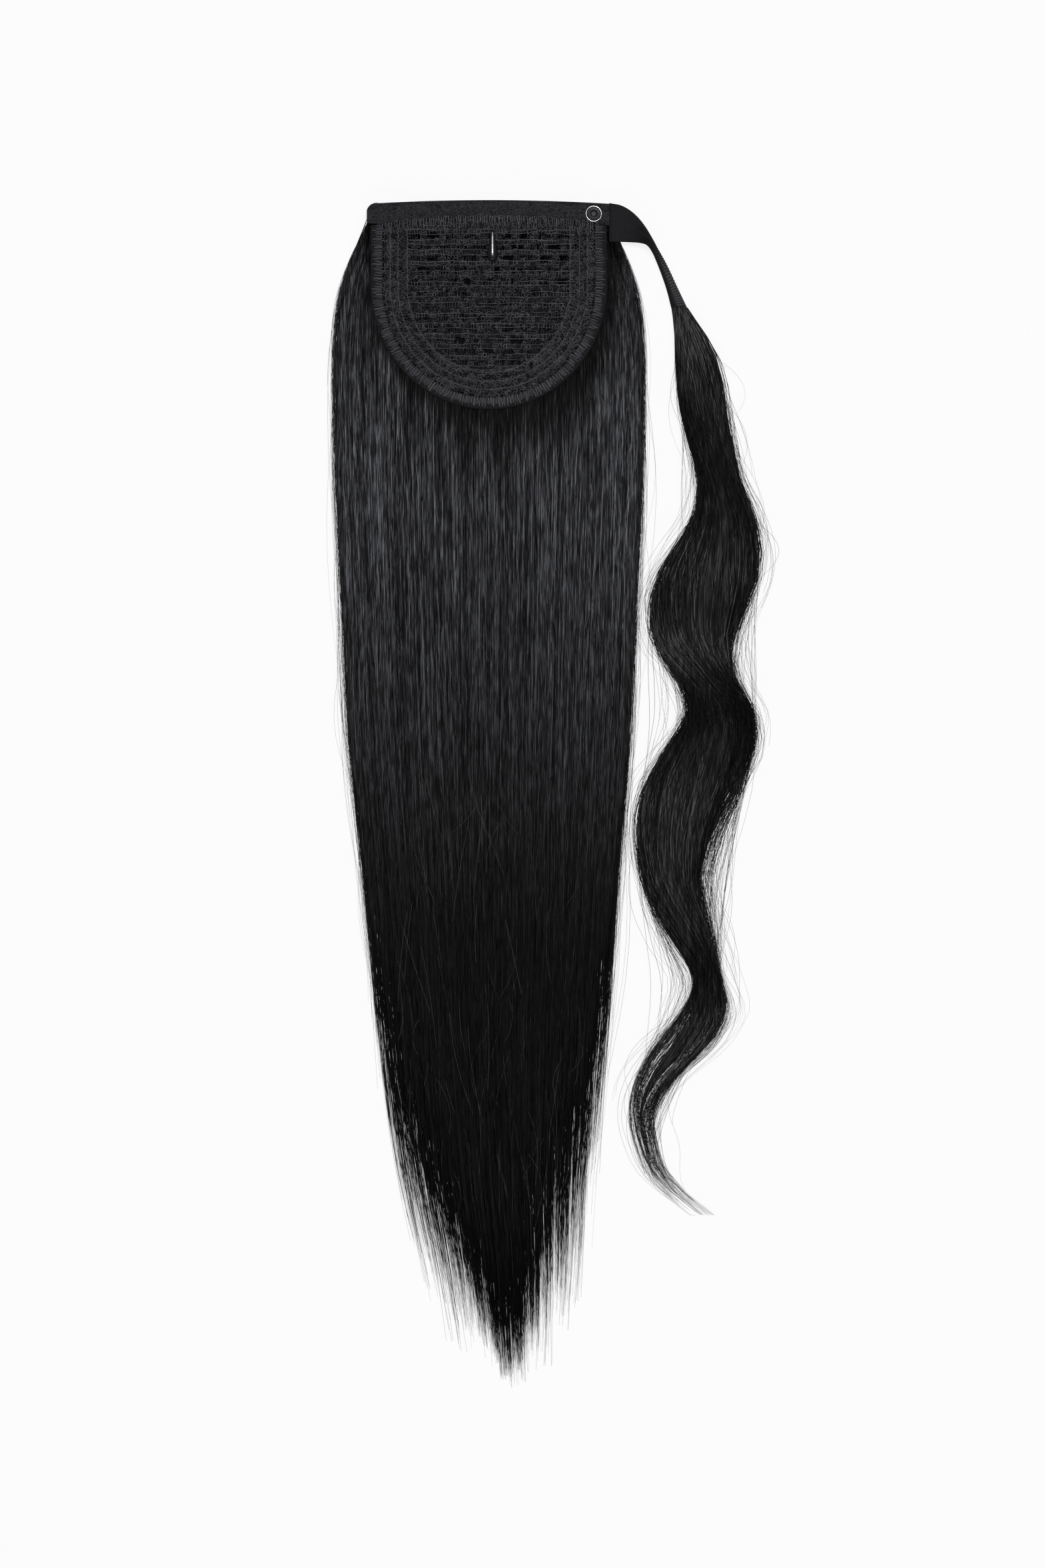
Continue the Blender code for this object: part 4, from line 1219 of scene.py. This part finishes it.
def gap_ladders(rng):
    """Thin upright threads across about half of the open gaps."""
    gaps = gap_places()
    gaps = gaps[rng.random(len(gaps)) < 0.55]
    offsets = np.linspace(-NET_GAP_WIDTH / 2, NET_GAP_WIDTH / 2, 6)[1:-1]
    x = (gaps[:, :1] + offsets[None, :]).ravel() + rng.normal(0.0, 0.0001, len(gaps) * 4)
    y = np.repeat(gaps[:, 1], 4)
    py = y[:, None] + np.linspace(0.5, -0.5, 4)[None, :] * (NET_GAP_HEIGHT + 0.0006)
    px = x[:, None] + rng.normal(0.0, 0.00008, py.shape)
    pz = net_surface(px, py) + np.array((0.0, -0.0002, -0.0002, 0.0))[None, :]
    return np.stack([px, py, pz], -1), 0.00013, rng.normal(0.4, 0.12, len(x))


def curved_wefts(rng):
    """The wefts that run round the net inside the binding, each with small stitches over it."""
    reach = np.array((-0.0010, -0.0004, 0.0004, 0.0010))
    rise = np.array((0.0001, 0.00062, 0.00062, 0.0001))
    groups = []
    for inset, size in WEFTS:
        path, run = u_path(BINDING_WIDTH + inset, 190)
        path = path[path[:, 1] < band_bottom(path[:, 0]) - 0.002]
        path = path + rng.normal(0.0, 0.00017, path.shape)
        z = net_surface(path[:, 0], path[:, 1]) + 0.00040
        tone = tones(rng, 0.66, 0.25, (1, len(path)), low=0.1)
        groups.append((np.column_stack([path, z])[None], size, tone))
        path, _ = u_path(BINDING_WIDTH + inset, round(run / WEFT_STITCH_PITCH))
        along, across = path_directions(path)
        longer = rng.uniform(0.7, 1.5, (len(path), 1, 1))
        spot = path[:, None, :] + across[:, None, :] * reach[None, :, None] * longer
        spot += along[:, None, :] * (reach * 0.6)[None, :, None]
        spot = spot[in_net(path[:, 0], path[:, 1], 0.0012)]
        z = net_surface(spot[..., 0], spot[..., 1]) + rise[None, :]
        groups.append((np.dstack([spot, z]), 0.00016, rng.normal(0.5, 0.12, len(spot))))
    return groups


def lacy_edge(rng):
    """Loose small loops between the outer wefts and the binding."""
    count = 1000
    path, _ = u_path(BINDING_WIDTH, 600)
    pick = rng.integers(20, 580, count)
    inward = rng.uniform(-0.0002, 0.0110, count)
    centre = path[pick]
    towards = np.array((0.0, TURN + 0.010))[None, :] - centre
    towards /= np.linalg.norm(towards, axis=1, keepdims=True)
    centre = centre + towards * inward[:, None]
    keep = in_net(centre[:, 0], centre[:, 1], -0.0002)
    centre = centre[keep]
    count = len(centre)
    angle = np.linspace(0.0, 1.65 * math.pi, 9)[None, :] + rng.uniform(0, 6.28, (count, 1))
    wide = rng.uniform(0.0005, 0.0011, (count, 1))
    px = centre[:, :1] + wide * np.cos(angle)
    py = centre[:, 1:] + wide * rng.uniform(0.6, 1.2, (count, 1)) * np.sin(angle)
    pz = net_surface(px, py) + 0.0002 + 0.0002 * np.sin(2 * angle)
    radii = rng.uniform(0.00014, 0.00022, (count, 1))
    return np.stack([px, py, pz], -1), radii, rng.normal(0.42, 0.22, count)


def overlock_row(rng, pitch, high, low, bright):
    """Upright stitches over the band's lower edge. high, low: ranges of their reach above and below it."""
    count = round((BASE_WIDTH - 2 * BINDING_WIDTH) / pitch)
    x = np.linspace(-1, 1, count) * (BASE_WIDTH / 2 - BINDING_WIDTH * 0.75) + rng.normal(0.0, 0.0001, count)
    top = rng.uniform(*high, count)
    bottom = rng.uniform(*low, count)
    share = shares(6)
    edge = band_bottom(x)
    py = (edge + top)[:, None] - (top + bottom)[:, None] * share
    px = x[:, None] + rng.normal(0.0, 0.00012, (count, 1)) + rng.normal(0.0, 0.00030, (count, 1)) * share
    on_band = ease(-0.0003, 0.0004, py - edge[:, None])
    step = BAND_THICKNESS - NET_THICKNESS
    pz = net_surface(px, py) + step * on_band + 0.00036 - 0.0004 * (share > 0.95) - 0.0002 * (share < 0.05)
    middle = np.exp(-((x / (0.36 * BASE_WIDTH)) ** 2))[:, None]
    tone = np.clip(rng.normal(bright, 0.16, (count, 1)) * (0.62 + 0.38 * middle) - 0.15 * share, 0.03, 1.0)
    return np.stack([px, py, pz], -1), rng.uniform(0.00017, 0.00024, (count, 1)), tone


def make_net(ground, thread, rng):
    """The net: its ground with the open gaps, and the threads over it."""
    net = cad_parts["cap_net"]
    net.data.materials.clear()
    net.data.materials.append(ground)
    knit = tubes("net_knit", [knit_ground(rng)], thread)
    rows = tubes("net_rows", ladder_rows(rng) + [gap_ladders(rng)], thread)
    wefts = tubes("net_wefts", curved_wefts(rng) + [lacy_edge(rng)], thread)
    upper = overlock_row(rng, 0.00100, (0.0001, 0.0008), (0.0022, 0.0038), 0.80)
    lower = overlock_row(rng, 0.00090, (-0.0030, -0.0020), (0.0042, 0.0056), 0.52)
    stitches = tubes("overlock_stitches", [upper, lower], thread, sides=4)
    return net, [knit, rows, wefts, stitches]


# The press stud and the hook

# The rim's wire as it is seen, thinner than the solid's
SHOWN_WIRE = 0.00050


def surface_slope(x, y):
    """How steeply the base's surface rises to the right and up the page."""
    step = 0.001
    slope_x = float(base_floor(x + step, y) - base_floor(x - step, y)) / (2 * step)
    slope_y = float(base_floor(x, y + step) - base_floor(x, y - step)) / (2 * step)
    return slope_x, slope_y


def leaning(x, y, ring_x, ring_y, ring_z):
    """Points of a piece whose middle is at x, y, leaning as the base's surface does there."""
    slope_x, slope_y = surface_slope(x, y)
    ring_z = ring_z + (ring_x - x) * slope_x + (ring_y - y) * slope_y
    return np.stack([ring_x, ring_y, ring_z], axis=-1)


def turned(name, profile, place, material):
    """A body turned from a profile of (radius, height) rows, which starts and ends on its axis."""
    angle = np.linspace(0.0, 2 * math.pi, 64, endpoint=False)
    profile = np.array(profile, float)
    x, y, z = place
    inner = profile[1:-1]
    ring_x = x + inner[:, :1] * np.cos(angle)[None, :]
    ring_y = y + inner[:, :1] * np.sin(angle)[None, :]
    rings = leaning(x, y, ring_x, ring_y, z + inner[:, 1:])
    count, points = rings.shape[:2]
    index, quads = ring_quads(count, points)
    low, high = count * points, count * points + 1
    fans = []
    for k in range(points):
        following = (k + 1) % points
        fans.append((low, index[0, following], index[0, k]))
        fans.append((high, index[-1, k], index[-1, following]))
    ends = [(x, y, z + profile[0, 1]), (x, y, z + profile[-1, 1])]
    vertices = np.concatenate([rings.reshape(-1, 3), np.array(ends)])
    return finish_mesh(name, vertices, quads, fans, material)


def make_snap(dark, silver):
    """The press stud: a silver wire rim round a dark dished cap, whose centre is bare."""
    x = BASE_WIDTH / 2 + BAND_OVERHANG_RIGHT - SNAP_FROM_END
    y = -SNAP_FROM_TOP
    z = float(base_floor(x, y)) + BAND_THICKNESS + PIECE_GAP
    middle = SNAP_RADIUS - SNAP_WIRE / 2
    steps, sides = 72, 14
    angle = np.linspace(0.0, 2 * math.pi, steps, endpoint=False)[:, None]
    turn = np.linspace(0.0, 2 * math.pi, sides, endpoint=False)[None, :]
    radius = middle + SHOWN_WIRE / 2 * np.cos(turn)
    ring_x = x + radius * np.cos(angle)
    ring_y = y + radius * np.sin(angle)
    rings = leaning(x, y, ring_x, ring_y, z + SNAP_WIRE / 2 + SHOWN_WIRE / 2 * np.sin(turn))
    index = np.arange(steps * sides).reshape(steps, sides)
    near, far = index, np.roll(index, -1, axis=0)
    quads = np.stack([near, far, np.roll(far, -1, axis=1), np.roll(near, -1, axis=1)], axis=2)
    rim = finish_mesh("stud_rim", rings, quads, np.zeros((0, 3)), silver)
    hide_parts("snap_rim")
    cap_radius = middle - SNAP_WIRE / 2 - 0.0001
    # Rows of (radius, height), as shares of the cap's radius and height
    shape = (
        (0.0, 0.0),
        (0.97, 0.0),
        (1.0, 0.10),
        (1.0, 0.50),
        (0.96, 0.66),
        (0.90, 0.70),
        (0.82, 0.62),
        (0.70, 0.55),
        (0.58, 0.60),
        (0.48, 0.80),
        (0.40, 0.95),
        (0.30, 1.0),
        (0.12, 0.98),
        (0.0, 0.97),
    )
    profile = [(radius * cap_radius, height * SNAP_HEIGHT) for radius, height in shape]
    cap = turned("stud_cap", profile, (x, y, z), dark)
    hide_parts("snap_cap")


def drop_rings(x, y, z, places, halves, lows, highs, sides):
    """Half-round sections of the hook, flat underneath, at these places along its length."""
    angle = np.linspace(0.0, math.pi, sides)[None, :]
    ring_x = x + halves[:, None] * np.cos(angle)
    ring_y = np.broadcast_to((y + places)[:, None], ring_x.shape)
    ring_z = z + lows[:, None] + (highs - lows)[:, None] * np.sin(angle)
    return leaning(x, y, ring_x, ring_y, ring_z)


def make_hook(dark, silver):
    """The drop-shaped hook with its bright bar."""
    x = HOOK_OFFSET
    y = float(band_bottom(x)) - HOOK_DROP - HOOK_LENGTH / 2
    z = float(base_floor(x, y)) + NET_THICKNESS + PIECE_GAP
    sections = 44
    share = 0.5 - 0.5 * np.cos(np.linspace(0.02, math.pi - 0.02, sections))
    round_end = np.sqrt(np.maximum(1 - (2 * np.abs(share - 0.5)) ** 5, 0.004))
    wide = HOOK_WIDTH / 2 * (0.42 + 0.58 * ease(0.15, 0.8, share)) * round_end
    tall = HOOK_THICKNESS * (0.62 + 0.38 * ease(0.1, 0.8, share)) * round_end
    rings = drop_rings(x, y, z, HOOK_LENGTH * (0.5 - share), wide, np.zeros(sections), tall, 22)
    shell = ring_loft("hook_body", rings, dark)
    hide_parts("hook_shell")
    top = HOOK_LENGTH * 0.5 - (HOOK_LENGTH - BAR_LENGTH) * 0.35
    round_end = np.sqrt(np.maximum(1 - (2 * np.abs(share - 0.5)) ** 8, 0.01))
    wide = BAR_WIDTH / 2 * (0.62 + 0.38 * share) * round_end
    low = np.full(sections, HOOK_THICKNESS * 0.62)
    high = low + (HOOK_THICKNESS * 0.38 + BAR_RISE) * round_end
    rings = drop_rings(x, y, z, top - BAR_LENGTH * share, wide, low, high, 18)
    bar = ring_loft("hook_pin", rings, silver)
    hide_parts("hook_bar")


# The strap

TAPE_THICKNESS = 0.0010
RIB_PITCH = 0.00098
RIB_RISE = 0.00018
# Sections of the tape for each of its ribs: two on the rib and two between
RIB_SECTIONS = 4

# How wide and how high the tape's folds stand where it is folded in three
FOLDED_WIDTH = 0.0080
FOLDED_RISE = 0.0042


def fold_section(fold, count):
    """The tape's section, from its outer edge to its inner one, folded in three: across and up, 0 to 1."""
    angle = fold * math.radians(164)
    back, up = math.cos(angle), math.sin(angle)
    corners = np.array(((0.0, 0.0), (1.0, 0.0), (1.0 + back, up), (2.0 + back, up)))
    run = np.array((0.0, 1.0, 2.0, 3.0))
    at = np.linspace(0.0, 3.0, count)
    points = np.stack([np.interp(at, run, corners[:, k]) for k in (0, 1)], axis=1)
    for _ in range(2):
        points[1:-1] = (points[:-2] + 2 * points[1:-1] + points[2:]) / 4
    low, high = points[:, 0].min(), points[:, 0].max()
    points[:, 0] = (points[:, 0] - low) / (high - low)
    return points


def strap_ring(place, section, outer, inner, lift, ridge):
    """The tape's section at one place along it, closed: its face and then its back. ridge: if on a rib."""
    tall = section[:, 1] * FOLDED_RISE
    normal = np.gradient(np.stack([section[:, 0] * FOLDED_WIDTH, tall], axis=1), axis=0)
    normal = np.stack([-normal[:, 1], normal[:, 0]], axis=1)
    normal /= np.linalg.norm(normal, axis=1, keepdims=True)
    low = float(read(STRAP, "low", place)) * lift
    width = np.linalg.norm(outer - inner)
    rib = RIB_RISE * (1.0 if ridge else -0.2)
    faces = []
    for offset in (TAPE_THICKNESS / 2 + rib, -TAPE_THICKNESS / 2):
        spot = outer + (inner - outer) * (section[:, :1] + normal[:, :1] * offset / width)
        z = low + TAPE_THICKNESS / 2 + tall + normal[:, 1] * offset
        faces.append(np.column_stack([spot, z]))
    return np.concatenate([faces[0], faces[1][::-1]])


def painted_strap_light(place, section, ridge):
    """How bright the tape is across one section, in painted light and shade: painted shade between its ribs
    and inside its folds.
    """
    fold = float(read(STRAP, "fold", place))
    # Painted shade inside the fold, and on the layer folded over.
    inside = np.exp(-(((place - 0.43) / 0.10) ** 2)) * ease(0.1, 0.5, section[:, 0])
    folded = ease(0.58, 0.70, section[:, 0]) * ease(0.7, 0.95, fold)
    # Lighter along its folded end; darker right at its start by the band.
    light = (0.42 + 0.62 * ease(0.52, 0.80, place)) * (1 - 0.85 * inside) * (1 - 0.85 * folded)
    # Painted shade in the grooves between the ribs.
    return light * ease(-0.03, 0.05, place) * (1.0 if ridge else 0.45)


def make_strap(material):
    """The ribbed tape that leaves the band, folds in three lengthwise and ends at the tress."""
    fine = np.linspace(0.0, 1.0, 40)
    middle_x = (read(STRAP, "outer_x", fine) + read(STRAP, "inner_x", fine)) / 2
    middle_y = (read(STRAP, "outer_y", fine) + read(STRAP, "inner_y", fine)) / 2
    length = np.hypot(np.diff(middle_x), np.diff(middle_y)).sum() * PIXEL
    stations = RIB_SECTIONS * round(length / RIB_PITCH)
    at = np.linspace(0.0, 1.0, stations + 1)
    outer = np.stack(from_pixel(read(STRAP, "outer_x", at), read(STRAP, "outer_y", at)), axis=1)
    inner = np.stack(from_pixel(read(STRAP, "inner_x", at), read(STRAP, "inner_y", at)), axis=1)
    outer[0, 0] = inner[0, 0] = BASE_WIDTH / 2 + BAND_OVERHANG_RIGHT + SEAM_GAP
    lift = float(base_floor(BASE_WIDTH / 2, -BAND_HEIGHT))
    rings, lights = [], []
    for number, place in enumerate(at):
        ridge = number % RIB_SECTIONS in (0, 1)
        section = fold_section(float(read(STRAP, "fold", place)), 25)
        rings.append(strap_ring(place, section, outer[number], inner[number], lift, ridge))
        # Each section's tone carries the strap's painted light and shade.
        light = painted_strap_light(place, section, ridge)
        lights.append(np.concatenate([light, light[::-1]]))
    strap = ring_loft("strap_tape", np.array(rings), material, np.concatenate(lights))
    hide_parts("wrap_strap")
    return strap, length


# Floor, light and camera

FLOOR_REACH = 6.0
FLOOR_DROP = 0.0002
FLOOR_GLOW = 0.835
WORLD_LIGHT = 0.22
KEY_POWER = 42.0
FILL_POWER = 12.0
LENS = 85.0
SENSOR = 36.0

# Height at which the photograph's scale holds
SCALE_HEIGHT = 0.6 * HAIR_THICKNESS


def make_floor():
    """The pale floor, which glows a little so that it comes out almost white."""
    mesh = bpy.data.meshes.new("floor")
    reach = FLOOR_REACH
    corners = [(-reach, -reach, 0), (reach, -reach, 0), (reach, reach, 0), (-reach, reach, 0)]
    mesh.from_pydata(corners, [], [(0, 1, 2, 3)])
    made, _, _, shader = node_material("pale_floor", 1.0, specular=0.0)
    shader.inputs["Base Color"].default_value = (0.16, 0.16, 0.16, 1.0)
    shader.inputs["Emission Color"].default_value = (1.0, 1.0, 1.0, 1.0)
    shader.inputs["Emission Strength"].default_value = FLOOR_GLOW
    mesh.materials.append(made)
    obj = bpy.data.objects.new("floor", mesh)
    obj.location = (0.0, 0.0, -FLOOR_DROP)
    bpy.context.scene.collection.objects.link(obj)


def area_light(name, place, size, power):
    """A rectangular light that points at the middle of the frame."""
    data = bpy.data.lights.new(name, "AREA")
    data.shape = "RECTANGLE"
    data.size, data.size_y = size
    data.energy = power
    obj = bpy.data.objects.new(name, data)
    obj.location = place
    obj.rotation_mode = "QUATERNION"
    obj.rotation_quaternion = (-mathutils.Vector(place)).to_track_quat("-Z", "Y")
    bpy.context.scene.collection.objects.link(obj)


def make_lights():
    """An even white surrounding, a broad light above and a weaker, lower one beyond the hair's tips."""
    world = bpy.data.worlds.new("studio")
    world.use_nodes = True
    background = world.node_tree.nodes["Background"]
    background.inputs["Color"].default_value = (1.0, 1.0, 1.0, 1.0)
    background.inputs["Strength"].default_value = WORLD_LIGHT
    bpy.context.scene.world = world
    area_light("key", (0.1, 0.50, 2.6), (1.5, 0.45), KEY_POWER)
    area_light("fill", (0.0, -2.0, 1.5), (2.2, 0.8), FILL_POWER)


def make_camera():
    """The camera over the middle of the photograph, looking straight down."""
    data = bpy.data.cameras.new("camera")
    data.sensor_width = SENSOR
    data.lens = LENS
    obj = bpy.data.objects.new("camera", data)
    x, y = from_pixel(PHOTO_WIDTH / 2, PHOTO_HEIGHT / 2)
    height = PHOTO_HEIGHT * PIXEL * LENS / SENSOR + SCALE_HEIGHT
    obj.location = (ORIGIN[0] + x, ORIGIN[1] + y, height)
    bpy.context.scene.collection.objects.link(obj)
    bpy.context.scene.camera = obj


def main():
    rng = np.random.default_rng(RANDOM_SEED)
    strand = hair_material("hair_strand", (1700.0, 120.0, 600.0), FALL_TONES, True)
    dense = hair_material("hair_dense", (2600.0, 30.0, 600.0), FALL_TONES, True)
    lock = hair_material("tress_strand", (1700.0, 100.0, 600.0), TRESS_TONES, False)
    ground = thread_material("net_ground", (0.002, 0.002, 0.0024), (0.013, 0.013, 0.015), 0.9)
    thread = thread_material("net_thread", (0.008, 0.008, 0.0095), (0.120, 0.121, 0.136))
    binding = thread_material("binding_cloth", (0.006, 0.006, 0.007), (0.020, 0.020, 0.023), 0.9)
    felt = felt_material()
    tape = tape_material()
    enamel = lacquer_material("hook_enamel", 0.34)
    cap = lacquer_material("stud_enamel", 0.42)
    silver = silver_material()

    locks = spread_places(rng, LOCKS)
    clumps = spread_places(rng, CLUMPS)
    body = make_hair_body(rng, dense)
    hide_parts("hair_fall")
    make_face_strands(rng, strand, locks, clumps)
    make_face_wisps(rng, strand)
    make_tip_strands(rng, strand, locks, clumps)
    make_fringe(rng, strand)
    make_strays(rng, lock)
    tress = make_tress_body(lock)
    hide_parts("wrap_tress")
    make_tress_strands(rng, lock)
    make_tress_flyaways(rng, lock)
    net, on_net = make_net(ground, thread, rng)
    on_net += make_binding(binding, thread, rng)
    band = make_band(felt)
    fold = make_band_fold(felt)
    make_snap(cap, silver)
    make_hook(enamel, silver)
    strap, strap_length = make_strap(tape)
    make_floor()
    make_lights()
    make_camera()
    bpy.context.scene.view_settings.view_transform = "Standard"


main()
